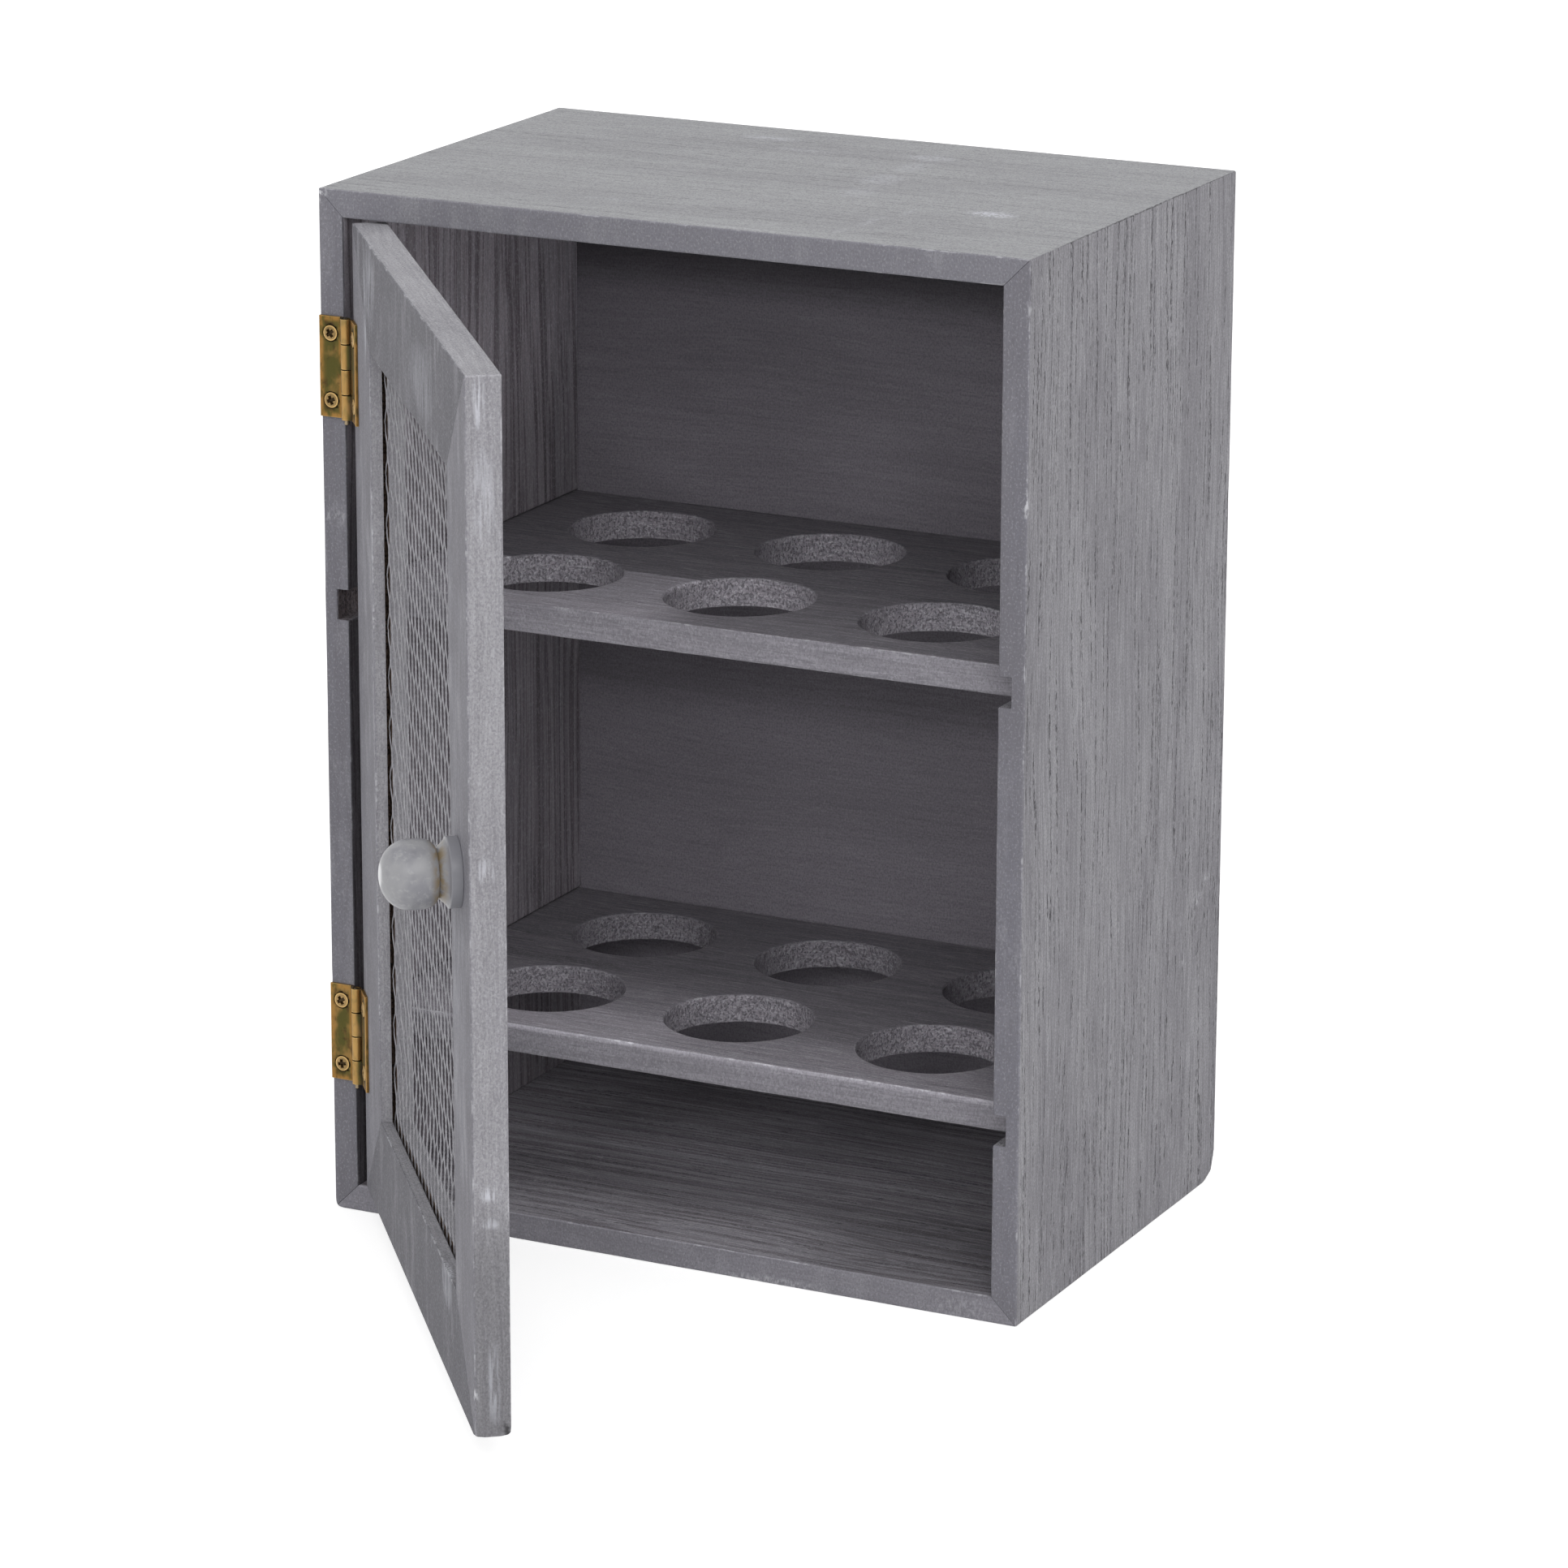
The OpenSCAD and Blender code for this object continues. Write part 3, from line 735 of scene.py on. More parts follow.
@dataclass
class Bench:
    """Puts finished skins into the scene and keeps the materials by name."""

    materials: dict[str, bpy.types.Material] = field(default_factory=dict)

    def finish(self, look: Finish) -> bpy.types.Material:
        """The material of a finish, made once.

        Args:
            look: The finish.

        Returns:
            The material.
        """
        if look.name not in self.materials:
            self.materials[look.name] = look.material()
        return self.materials[look.name]

    def hang(
        self, skin: Skin, name: str, body: Body, look: Finish, slot: str,
        nodes: tuple[str, ...] = (), crease: float = 38.0,
    ) -> None:
        """Makes a skin a piece that rides on a body.

        Args:
            skin: The piece's surface, in millimetres, where it stands.
            name: The piece's name.
            body: Body that it rides on.
            look: Its finish.
            slot: Name of a material slot; not used.
            nodes: CAD nodes that it stands for.
            crease: Angle in degrees past which an edge is drawn sharp.
        """
        mesh = bpy.data.meshes.new(name)
        sizes = np.concatenate([np.full(len(f), f.shape[1]) for f in skin.faces])
        corners = np.concatenate([f.reshape(-1) for f in skin.faces])
        mesh.vertices.add(len(skin.points))
        mesh.vertices.foreach_set("co", (skin.points * MM).astype(np.float32).reshape(-1))
        mesh.loops.add(len(corners))
        mesh.loops.foreach_set("vertex_index", corners.astype(np.int32))
        mesh.polygons.add(len(sizes))
        starts = np.concatenate([[0], np.cumsum(sizes)[:-1]])
        mesh.polygons.foreach_set("loop_start", starts.astype(np.int32))
        mesh.update(calc_edges=True)
        mesh.polygons.foreach_set("use_smooth", np.ones(len(sizes), bool))
        mesh.set_sharp_from_angle(angle=math.radians(crease))
        for key, values in skin.values.items():
            layer = mesh.attributes.new(key, "FLOAT", "POINT")
            layer.data.foreach_set("value", values.astype(np.float32))
        mesh.materials.append(self.finish(look))
        piece = bpy.data.objects.new(name, mesh)
        bpy.context.scene.collection.objects.link(piece)
        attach(piece, body.value)
        if nodes:
            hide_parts(*nodes)
        log.info("%s on %s: %d triangles", name, body.value, int((sizes - 2).sum()))


@dataclass(frozen=True)
class Mark:
    """A worn place (on the knob's tip, a painted highlight): an ellipsoid on the closed cupboard, by its middle
    and its half sizes.
    """

    at: Point
    size: Point
    depth: float
    wear: Wear


def wear_and_highlight_marks(wear: Wear, *rows: tuple[float, ...]) -> tuple[Mark, ...]:
    """Marks of one kind, each from a row of its middle, its half sizes and its depth."""
    return tuple(Mark(row[:3], row[3:6], row[6], wear) for row in rows)


@dataclass(frozen=True)
class PaintedShading:
    """A stretch of painted light or painted shade: a box on the closed cupboard, how wide its border fades along
    x, y and z, and the share of the colour's level that it adds, above 0 for painted light and below 0 for painted
    shade."""

    low: Point
    high: Point
    fade: Point
    by: float


def marked(skin: Skin, marks: tuple[Mark, ...], shades: tuple[PaintedShading, ...] = ()) -> Skin:
    """Adds one value for each kind of wear, the strongest of its marks, each falling as 1 - q^4 to its border q =
    1, and a value of painted light and shade, the sum of the shades.

    Args:
        skin: The skin, on the closed cupboard.
        marks: The worn places, and the knob's painted highlight.
        shades: The stretches of painted light and shade.

    Returns:
        The same skin.
    """
    for wear in Wear:
        skin.values[wear.value] = np.zeros(len(skin.points))
    for mark in marks:
        q = np.linalg.norm((skin.points - np.array(mark.at)) / np.array(mark.size), axis=1)
        value = skin.values[mark.wear.value]
        np.maximum(value, mark.depth * np.clip(1.0 - q ** 4, 0.0, 1.0), out=value)
    tone = skin.values.get("tone", np.zeros(len(skin.points)))
    for shade in shades:
        low, high, fade = np.array(shade.low), np.array(shade.high), np.array(shade.fade)
        inside = smooth(skin.points, low - fade, low) * (1.0 - smooth(skin.points, high, high + fade))
        tone = tone + shade.by * np.prod(inside, axis=1)
    skin.values["tone"] = tone
    return skin


@dataclass
class Notch:
    """A cut into a member's inner side: between two places along it, or behind a depth, and how far in."""

    depth: float
    start: float = -1.0
    end: float = 1.0e4
    behind: float = -1.0
    lip: float = 0.25
    wall: float = 0.02
    lip_width: float = 0.5

    def cut(self, along: np.ndarray, back: np.ndarray) -> np.ndarray:
        """How far the inner side is cut back at a place.

        The wall is a step twice the wall field wide, and outside it the lip is eased as a square falls:
        lip (1 - d / w)^2 for a distance d up to its width w.

        Args:
            along: Places along the member.
            back: Places from its front face to its back.

        Returns:
            The cut at each place.
        """
        if self.behind > 0:
            inside = smooth(back, self.behind - self.wall, self.behind + self.wall)
            away = np.abs(back - self.behind)
        else:
            inside = (smooth(along, self.start - self.wall, self.start + self.wall)
                      - smooth(along, self.end - self.wall, self.end + self.wall))
            away = np.minimum(np.abs(along - self.start), np.abs(along - self.end))
        lip = self.lip * np.clip(1.0 - away / self.lip_width, 0.0, 1.0) ** 2
        return self.depth * inside + lip * (1.0 - inside)


@dataclass
class Member:
    """One straight member with mitred ends, in its own axes: x in from its outer edge, y from the front
    face back, and z along it.

    Near an end the places along it close up with x, z = x + z (reach - x) / reach, which cuts the mitre.
    """

    length: float
    seed: int
    width: float
    thick: float
    notches: tuple[Notch, ...] = ()
    ease: float = 0.45
    reach: float = 40.0
    step: float = 1.6
    torn: float = 0.12

    def skin(self) -> Skin:
        """The member's surface with eased, knocked arrises and its cuts.

        Returns:
            The skin, with arris distance, sawn, plain and outer values; plain marks the front face and outer
            the outer one.
        """
        steps = np.array([-0.5, -0.25, -0.02, 0.02])
        deepest = max((n.depth for n in self.notches), default=0.0)
        along, back = [], []
        for n in self.notches:
            if n.behind > 0:
                back += [*(n.behind + steps)]
            else:
                along += [*(n.start + steps), *(n.end - steps)]
        block = shell(samples(self.width, 1.6, (self.width - deepest,)), samples(self.thick, 1.6, tuple(back)),
                      samples(self.length, self.step, tuple(along)))
        low, high = np.zeros(3), np.array([self.width, self.thick, self.length])
        p = block.points
        arris = arris_distance(p[:, :2], low[:2], high[:2])
        squeeze = np.array([1.0, 1.0, 3.5])
        q = eased(p * squeeze, low, high * squeeze, worn_radius(p, self.ease, self.seed)) / squeeze
        x, y, z = q.T
        cut = np.zeros(len(q))
        for n in self.notches:
            cut = np.maximum(cut, n.cut(z, y))
        inward = x * (self.width - cut) / self.width
        rough = smooth(x, self.width - 0.01, self.width) * smooth(cut, 0.5, 1.0)
        inward = inward + self.torn * rough * ripple(q, 0.9, self.seed + 4)
        low_end = np.clip(1.0 - z / self.reach, 0.0, 1.0)
        high_end = np.clip(1.0 - (self.length - z) / self.reach, 0.0, 1.0)
        z = z + inward * low_end - inward * high_end
        plain, outer = (1.0 - smooth(p[:, k], 0.1, 0.5) for k in (1, 0))
        return Skin(np.stack([inward, y, z], axis=1), block.faces,
                    {"arris": arris, "sawn": rough, "plain": plain, "outer": outer})


def mitred(corner: Point, right: float, tall: float, seed: int, uprights: dict, levels: dict) -> dict[Lay, Skin]:
    """Four mitred members round a rectangle.

    Args:
        corner: The rectangle's left, front and lowest corner.
        right: Its right side.
        tall: Its height.
        seed: Picks the wear of the first member, and the next ones for the others.
        uprights: Sizes of the left and right member, by name.
        levels: Sizes of the bottom and top member.

    Returns:
        The skins by how they are laid.
    """
    left, front, foot = corner
    origins = {Lay.LEFT: corner, Lay.RIGHT: (right, front, foot), Lay.BOTTOM: corner,
               Lay.TOP: (left, front, foot + tall)}
    skins = {}
    for number, (lay, origin) in enumerate(origins.items()):
        length, sizes = (tall, uprights) if lay in UPRIGHTS else (right - left, levels)
        skins[lay] = Member(length, seed + number, **sizes).skin().placed(lay, origin)
    return skins


@dataclass
class Shelf:
    """Shelf with a grid of round holes. Each hole has a cell of the shelf: a ray from the hole's centre runs
    in from the cell's border to the rim, rounds it on a quarter circle, and goes down the wall and back out.
    """

    top: float
    seed: int
    thick: float = 7.4
    half_width: float = 90.3
    front: float = -51.2
    back: float = 57.8
    hole: float = 37.6
    holes: tuple[int, int] = (3, 2)
    pitch: tuple[float, float] = (53.0, 50.5)
    rays: tuple[int, int] = (56, 48)
    rim: float = 0.45
    ease: float = 0.4

    def cell(self, centre: np.ndarray, border: np.ndarray) -> Skin:
        """The shelf round one hole.

        Args:
            centre: The hole's centre.
            border: The cell's border points.

        Returns:
            The cell's skin, open at its border.
        """
        r = self.hole / 2
        reach = np.linalg.norm(border - centre, axis=1)[:, None]
        way = (border - centre) / reach
        near = np.array([0.0, 0.12, 0.28, 0.5, 0.8, 1.3, 2.2])
        mid = np.linspace(0.0, 1.0, 9)[1:]
        arc = np.linspace(0.0, math.pi / 2, 6)
        rim = r + np.concatenate([[1.8, 1.1, 0.7], self.rim * (1 - np.sin(arc))])
        flat = np.concatenate([reach - near, reach - 2.2 - mid * (reach - 2.2 - r - 2.6),
                               np.broadcast_to(rim, (len(reach), len(rim)))], axis=1)
        drop = np.concatenate([np.zeros(flat.shape[1] - len(arc)), self.rim * (1 - np.cos(arc))])
        wall = np.linspace(self.rim, self.thick - self.rim, 11)[1:-1]
        far = np.concatenate([flat, np.full((len(reach), len(wall)), r), flat[:, ::-1]], axis=1)
        down = np.concatenate([drop, wall, self.thick - drop[::-1]])
        place = centre + way[:, None, :] * far[..., None]
        height = np.broadcast_to(self.top - down, far.shape)[..., None]
        points = np.concatenate([place, height], axis=2).reshape(-1, 3)
        on_wall = np.zeros(len(down))
        on_wall[len(drop) - 2:len(drop) + len(wall) + 2] = 1.0
        sawn = np.tile(on_wall, len(reach))
        push = 0.10 * ripple(points, 0.9, self.seed)
        push = push + 0.08 * ripple(points * np.array([1, 1, 0.3]), 2.4, self.seed + 1)
        points[:, :2] += np.repeat(way, len(down), axis=0) * (push * sawn)[:, None]
        edge = np.hypot(np.maximum(0.0, far - r), np.minimum(down, self.thick - down)[None, :])
        ids = np.arange(len(points)).reshape(far.shape)
        loop = np.concatenate([ids, ids[:1]], axis=0)
        # Painted light on the hole walls.
        return Skin(points, [quads(loop)[:, ::-1]], {
            "sawn": 0.8 * sawn, "tone": 0.6 * sawn, "arris": np.minimum(edge.reshape(-1), FAR)})

    def wall(self, run: np.ndarray) -> Skin:
        """A stretch of the shelf's outer wall.

        Args:
            run: Points along it.

        Returns:
            The wall's skin.
        """
        steps = self.top - samples(self.thick, 1.6)
        size = (len(run), len(steps), 1)
        wall = np.concatenate([np.repeat(run[:, None], len(steps), axis=1),
                               np.broadcast_to(steps[None, :, None], size)], axis=2)
        ids = np.arange(wall.size // 3).reshape(size[:2])
        # The outer walls take part of the shelf's lighter front colour: painted light.
        return Skin(wall.reshape(-1, 3), [quads(ids)[:, ::-1]],
                    {"arris": np.full(ids.size, FAR), "plain": np.full(ids.size, 0.55)})

    def skin(self) -> Skin:
        """All the cells, the outer walls, and the eased outer arrises.

        Returns:
            The shelf's skin.
        """
        edges, centres = [], []
        ends = ((-self.half_width, self.half_width), (self.front, self.back))
        for (low, high), count, pitch in zip(ends, self.holes, self.pitch):
            middle = (low + high) / 2
            edges.append([low, *(middle + (np.arange(1, count) - count / 2) * pitch), high])
            centres.append(middle + (np.arange(count) - (count - 1) / 2) * pitch)
        (xs, ys), (columns, rows) = edges, self.holes
        starts = np.cumsum([0, *self.rays, *self.rays])
        parts = []
        for i, k in itertools.product(range(columns), range(rows)):
            corners = np.array([(xs[i], ys[k]), (xs[i + 1], ys[k]), (xs[i + 1], ys[k + 1]), (xs[i], ys[k + 1])])
            border = np.concatenate([
                a + (b - a) * np.linspace(0, 1, count + 1)[:-1, None]
                for a, b, count in zip(corners, np.roll(corners, -1, axis=0), self.rays * 2)
            ])
            parts.append(self.cell(np.array([centres[0][i], centres[1][k]]), border))
            loop = np.concatenate([border, border[:1]])
            for side in np.flatnonzero([k == 0, i == columns - 1, k == rows - 1, i == 0]):
                parts.append(self.wall(loop[starts[side]:starts[side + 1] + 1]))
        whole = parts[0].joined(*parts[1:])
        low = np.array([-self.half_width, self.front, self.top - self.thick])
        high = np.array([self.half_width, self.back, self.top])
        whole.values["arris"] = np.minimum(whole.values["arris"], arris_distance(whole.points, low, high))
        whole.points = eased(whole.points, low, high, worn_radius(whole.points, self.ease, self.seed))
        return whole.welded()


@dataclass
class CrossScrew:
    """Countersunk wood screw with a domed, crossed head, turned about z with its head's rim at z = 0."""

    head: float = 1.9
    shank: float = 0.85
    cone: float = 0.8
    length: float = 6.0
    dome: float = 0.35
    recess: float = 0.85
    turn: float = 0.0
    thread: float = 0.8

    def skin(self) -> Skin:
        """The screw: dome height falls as 1 - (r / head)^2.6, and the cross is pressed in where one of two
        crossed bars is; the shank's radius rises at each turn of the thread.

        Returns:
            The screw's skin.
        """
        tip = -self.cone - self.length
        shank_z = np.linspace(tip + self.shank, -self.cone, 46)
        ridge = 0.16 * self.shank * np.cos(2 * math.pi * shank_z / self.thread)
        ridge = ridge * smooth(-shank_z, self.cone, self.cone + 0.4)
        top_r = self.head * np.cos(np.linspace(0.0, math.pi / 2, 26))
        radii = np.concatenate([[0.0], self.shank - 0.13 + ridge, [self.head], top_r])
        rise = self.dome * (1.0 - (top_r / self.head) ** 2.6)
        heights = np.concatenate([[tip], shank_z, [-0.06], rise])
        radii[-1] = 0.0
        skin = lathe(radii, heights, 72)
        x, y, z = skin.points.T
        c, s = math.cos(self.turn), math.sin(self.turn)
        u, v = np.abs(x * c + y * s), np.abs(y * c - x * s)
        bar, arm = 0.15 * self.head, 0.60 * self.head
        bars = [(1 - smooth(a, bar, bar * 1.5)) * (1 - smooth(b, arm * 0.86, arm)) for a, b in ((u, v), (v, u))]
        on_head = z > -0.05
        cross = np.maximum(*bars) * on_head
        rim = np.hypot(x, y) / self.head
        skin.points[:, 2] -= self.recess * cross * (1.0 - 0.45 * rim)
        # Painted highlight: a pale ring just inside the head's rim. Painted shade, with some grime, fills the
        # cross.
        shine = 0.8 * smooth(rim, 0.80, 0.9) * (1 - smooth(rim, 0.97, 1.0)) * on_head
        skin.values = {"grime": np.clip(cross * 1.2, 0, 1) * 0.85, "shine": shine}
        return skin


@dataclass
class ButtHinge:
    """Butt hinge of pressed sheet: two leaves whose rolled knuckles take turns round one pin."""

    name: str
    middle: float
    turns: tuple[float, float, float, float]
    length: float = 25.0
    leaf: float = 8.0
    sheet: float = 0.8
    ease: float = 0.14
    dish: float = 0.55
    dish_radii: tuple[float, float] = (1.88, 2.12)
    knuckle: float = 1.3
    bore: float = 0.7
    standoff: float = 1.75
    roll_start: float = math.radians(17)
    roll_turn: float = math.radians(300)
    knuckles: int = 4
    gap: float = 0.2
    screw_x: float = 4.9
    screw_pitch: float = 16.6
    pin: float = 0.65
    pin_bend: float = 0.22
    tail: float = 1.2

    def plate(self) -> Skin:
        """The flat of a leaf, dished round its screws: x runs out from the pin, y out from the wood.

        Returns:
            The plate's skin.
        """
        first = self.knuckle + self.gap
        block = shell(samples(self.leaf - first, 0.22), samples(self.sheet, 0.4), samples(self.length, 0.24))
        size = np.array([self.leaf - first, self.sheet, self.length])
        p = block.points
        arris = arris_distance(p, np.zeros(3), size)
        q = eased(p, np.zeros(3), size, np.full(len(p), self.ease)) + np.array([first, 0.0, 0.0])
        away = np.minimum(*(
            np.hypot(q[:, 0] - self.screw_x, q[:, 2] - self.length / 2 - side * self.screw_pitch / 2)
            for side in (-1, 1)))
        front = smooth(p[:, 1], self.sheet - 0.3, self.sheet)
        q[:, 1] -= self.dish * front * (1.0 - smooth(away, *self.dish_radii))
        q[:, 1] += 0.03 * front * ripple(q, 4.0, 3)
        # Painted shade, with some grime: a dark ring where each screw head sits in its dish, and a dark strip
        # where the knuckle rises from the plate.
        grime = np.maximum(0.9 * (1.0 - smooth(np.abs(away - 1.98), 0.06, 0.30)),
                           0.45 * (1.0 - smooth(q[:, 0] - first, 0.1, 0.7)))
        # Painted highlight along the plate's arrises.
        return Skin(q, block.faces, {
            "grime": grime * front, "shine": 0.5 * (1 - smooth(arris, 0.02, 0.2)),
            "border": 1 - smooth(arris, 0.5, 1.7),
        })

    def roll(self, low: float, high: float) -> Skin:
        """One knuckle: the sheet rises from the leaf on a cubic curve and rolls 300 degrees round the bore.

        Args:
            low: Lower end.
            high: Upper end.

        Returns:
            The knuckle's skin.
        """
        mid, wall = (self.knuckle + self.bore) / 2, self.knuckle - self.bore
        start = self.roll_start
        meet = np.array([mid * math.cos(start), self.standoff + mid * math.sin(start)])
        rise = np.array([-math.sin(start), math.cos(start)])
        a, b, c, d = np.array([[2.3, self.sheet / 2], [1.25, self.sheet / 2], meet - 0.8 * rise, meet])
        t = np.linspace(0, 1, 12)[:, None]
        ramp = (1 - t) ** 3 * a + 3 * (1 - t) ** 2 * t * b + 3 * (1 - t) * t ** 2 * c + t ** 3 * d
        turn = np.linspace(start, start + self.roll_turn, 44)[1:]
        curl = np.stack([mid * np.cos(turn), self.standoff + mid * np.sin(turn)], axis=1)
        path = np.concatenate([ramp, curl])
        run = np.concatenate([[0.0], np.cumsum(np.linalg.norm(np.diff(path, axis=0), axis=1))])
        thick = np.interp(run, [0, run[11]], [self.sheet, wall])
        way = np.gradient(path, run, axis=0)
        way /= np.linalg.norm(way, axis=1)[:, None]
        normal = np.stack([-way[:, 1], way[:, 0]], axis=1)
        block = shell(run, samples(wall, 0.3), samples(high - low, 0.5))
        size = np.array([run[-1], wall, high - low])
        p = block.points
        end = np.minimum(np.abs(p[:, 2]), np.abs(size[2] - p[:, 2]))
        q = eased(p, np.zeros(3), size, np.full(len(p), 0.12))
        across = (q[:, 1] / wall - 0.5) * np.interp(q[:, 0], run, thick)
        x, y = (np.interp(q[:, 0], run, path[:, i]) + across * np.interp(q[:, 0], run, normal[:, i])
                for i in (0, 1))
        outside = 1.0 - smooth(p[:, 1], 0.0, 0.2)
        on_curl = outside * smooth(p[:, 0], run[8], run[13])
        # Painted shade, with some grime, where the knuckle rises from the leaf and at its ends, in the gaps
        # between knuckles. Painted highlight along the outside of the curl, brightest near its ends.
        grime = np.maximum(0.8 * (1 - smooth(p[:, 0], run[4], run[10])), 0.9 * (1 - smooth(end, 0.0, 0.1)))
        return Skin(np.stack([x, y, q[:, 2] + low], axis=1), block.faces, {
            "shine": (0.3 + 0.5 * (1 - smooth(end, 0.05, 0.3))) * on_curl, "border": on_curl,
            "grime": grime * outside,
        })

    def leaf_skin(self, first: int) -> Skin:
        """A leaf with its own knuckles, numbered from the top.

        Args:
            first: Number of its first knuckle.

        Returns:
            The leaf's skin.
        """
        part = self.length / self.knuckles
        rolls = []
        for n in range(first, self.knuckles, 2):
            low = 0.0 if n == self.knuckles - 1 else (self.knuckles - 1 - n) * part + self.gap / 2
            high = self.length if n == 0 else (self.knuckles - n) * part - self.gap / 2
            rolls.append(self.roll(low, high))
        return self.plate().joined(*rolls)

    def pin_skin(self) -> Skin:
        """The pin: a round bar with rounded ends, drawn as a quarter circle each.

        Returns:
            The pin's skin.
        """
        turn = np.linspace(0, math.pi / 2, 7)
        bend, flat = self.pin_bend, self.pin - self.pin_bend
        low, high = self.middle - self.length / 2 - self.tail, self.middle + self.length / 2
        out, back = bend * np.sin(turn), bend * np.cos(turn)
        radii = np.concatenate([[0.0], flat + out, flat + back, [0.0]])
        heights = np.concatenate([[low], low + bend - back, high - bend + out, [high]])
        skin = lathe(radii, heights, 28)
        skin.points += PIN
        return skin

    def screws(self, mirrored: bool) -> Skin:
        """The two screws of one leaf, where they stand on the case or on the closed door.

        Args:
            mirrored: True for the door's leaf.

        Returns:
            The screws' skin.
        """
        x = PIN[0] + (self.screw_x if mirrored else -self.screw_x)
        turns = self.turns[2:] if mirrored else self.turns[:2]
        upper, lower = (
            CrossScrew(turn=math.radians(turn)).skin().placed(
                Lay.OUT_OF_FRONT, (x, FRONT - self.sheet, self.middle + side * self.screw_pitch / 2))
            for turn, side in zip(turns, (1, -1)))
        return upper.joined(lower)

    def build(self, bench: Bench, look: AgedBrass, dull: AgedBrass, steel: DrawnSteel) -> None:
        """Makes the hinge's leaves and pin.

        Args:
            bench: Takes the pieces.
            look: Finish of the case's leaf.
            dull: Finish of the door's leaf, a darker copy of the brass: painted shade.
            steel: Finish of the pin.
        """
        foot = (PIN[0], FRONT, self.middle - self.length / 2)
        on_case = self.leaf_skin(0).placed(Lay.CASE_LEAF, foot)
        on_door = self.leaf_skin(1).placed(Lay.DOOR_LEAF, foot).on_door()
        name = self.name
        bench.hang(on_case, f"{name}_leaf_on_case", Body.CASE, look, "aged_brass", (f"{name}_case_leaf",))
        bench.hang(on_door, f"{name}_leaf_on_door", Body.DOOR, dull, "aged_brass", (f"{name}_door_leaf",))
        bench.hang(self.pin_skin(), f"{name}_pin", Body.CASE, steel, "steel", (f"{name}_hinge_pin",))


@dataclass
class Netting:
    """Hexagonal wire netting. Each wire zigzags between two column lines half a mesh apart. At each row it
    runs round its neighbour once, on an ellipse as wide as the wire, and between rows it crosses over on
    an S. The sheet bows back from the door frame's lip, inside an opening given by its half width and
    half height.
    """

    width: float = 121.6
    height: float = 201.2
    centre: tuple[float, float] = (1.0, 130.0)
    opening: tuple[float, float] = (59.6, 96.6)
    mesh: float = 5.5
    rise: float = 6.3
    twist: float = 2.6
    wire: float = 0.33
    flat: float = 0.4
    depth: float = 3.75
    bow: float = 0.9
    sway: float = 0.3
    shift: float = 0.08

    def skin(self) -> Skin:
        """All the wires.

        Returns:
            The netting's skin on the closed door.
        """
        half = self.mesh / 2
        wires = int(self.width // half)
        rows = int((self.height - self.twist) // self.rise) + 1
        i = np.arange(wires)[:, None, None]
        row = np.arange(rows)[None, :, None]
        at_left = (i + row) % 2 == 0
        line, side = np.where(at_left, i, i + 1) * half, np.where(at_left, 1.0, -1.0)
        next_line = np.where(at_left, i + 1, i) * half
        round_at = np.linspace(0, 1, 7)[None, None, :]
        over = np.array([0.22, 0.5, 0.78])[None, None, :]
        g = self.wire / 2 + 0.01
        x_twist = line + side * g * np.cos(2 * math.pi * round_at)
        y_twist = self.flat * side * g * np.sin(2 * math.pi * round_at)
        z_twist = row * self.rise + self.twist * round_at + 0 * x_twist
        blend = over * over * (3 - 2 * over)
        x_over = (line + side * g) * (1 - blend) + (next_line - side * g) * blend
        z_over = row * self.rise + self.twist + (self.rise - self.twist) * over + 0 * x_over
        x, y, z = (np.concatenate(pair, axis=2).reshape(wires, -1)[:, :-over.size] for pair in (
            (x_twist, x_over), (y_twist, 0 * x_over), (z_twist, z_over)))
        x = x - wires * half / 2
        z = z - z.max() / 2 + self.centre[1]
        flat = np.stack([x, 0 * x, z], axis=-1).reshape(-1, 3)
        sway = (ripple(flat, 45.0, 31) * self.sway).reshape(x.shape)
        shift = (ripple(flat, 14.0, 33) * self.shift).reshape(x.shape)
        inside = (smooth(self.opening[0] - np.abs(x), -1.5, 14.0)
                  * smooth(self.opening[1] - np.abs(z - self.centre[1]), 0.0, 22.0))
        y = y + FRONT + self.depth + (self.bow + sway) * inside
        x = x + shift * inside + self.centre[0]
        return tubes(np.stack([x, y, z], axis=-1), self.wire / 2, 6)


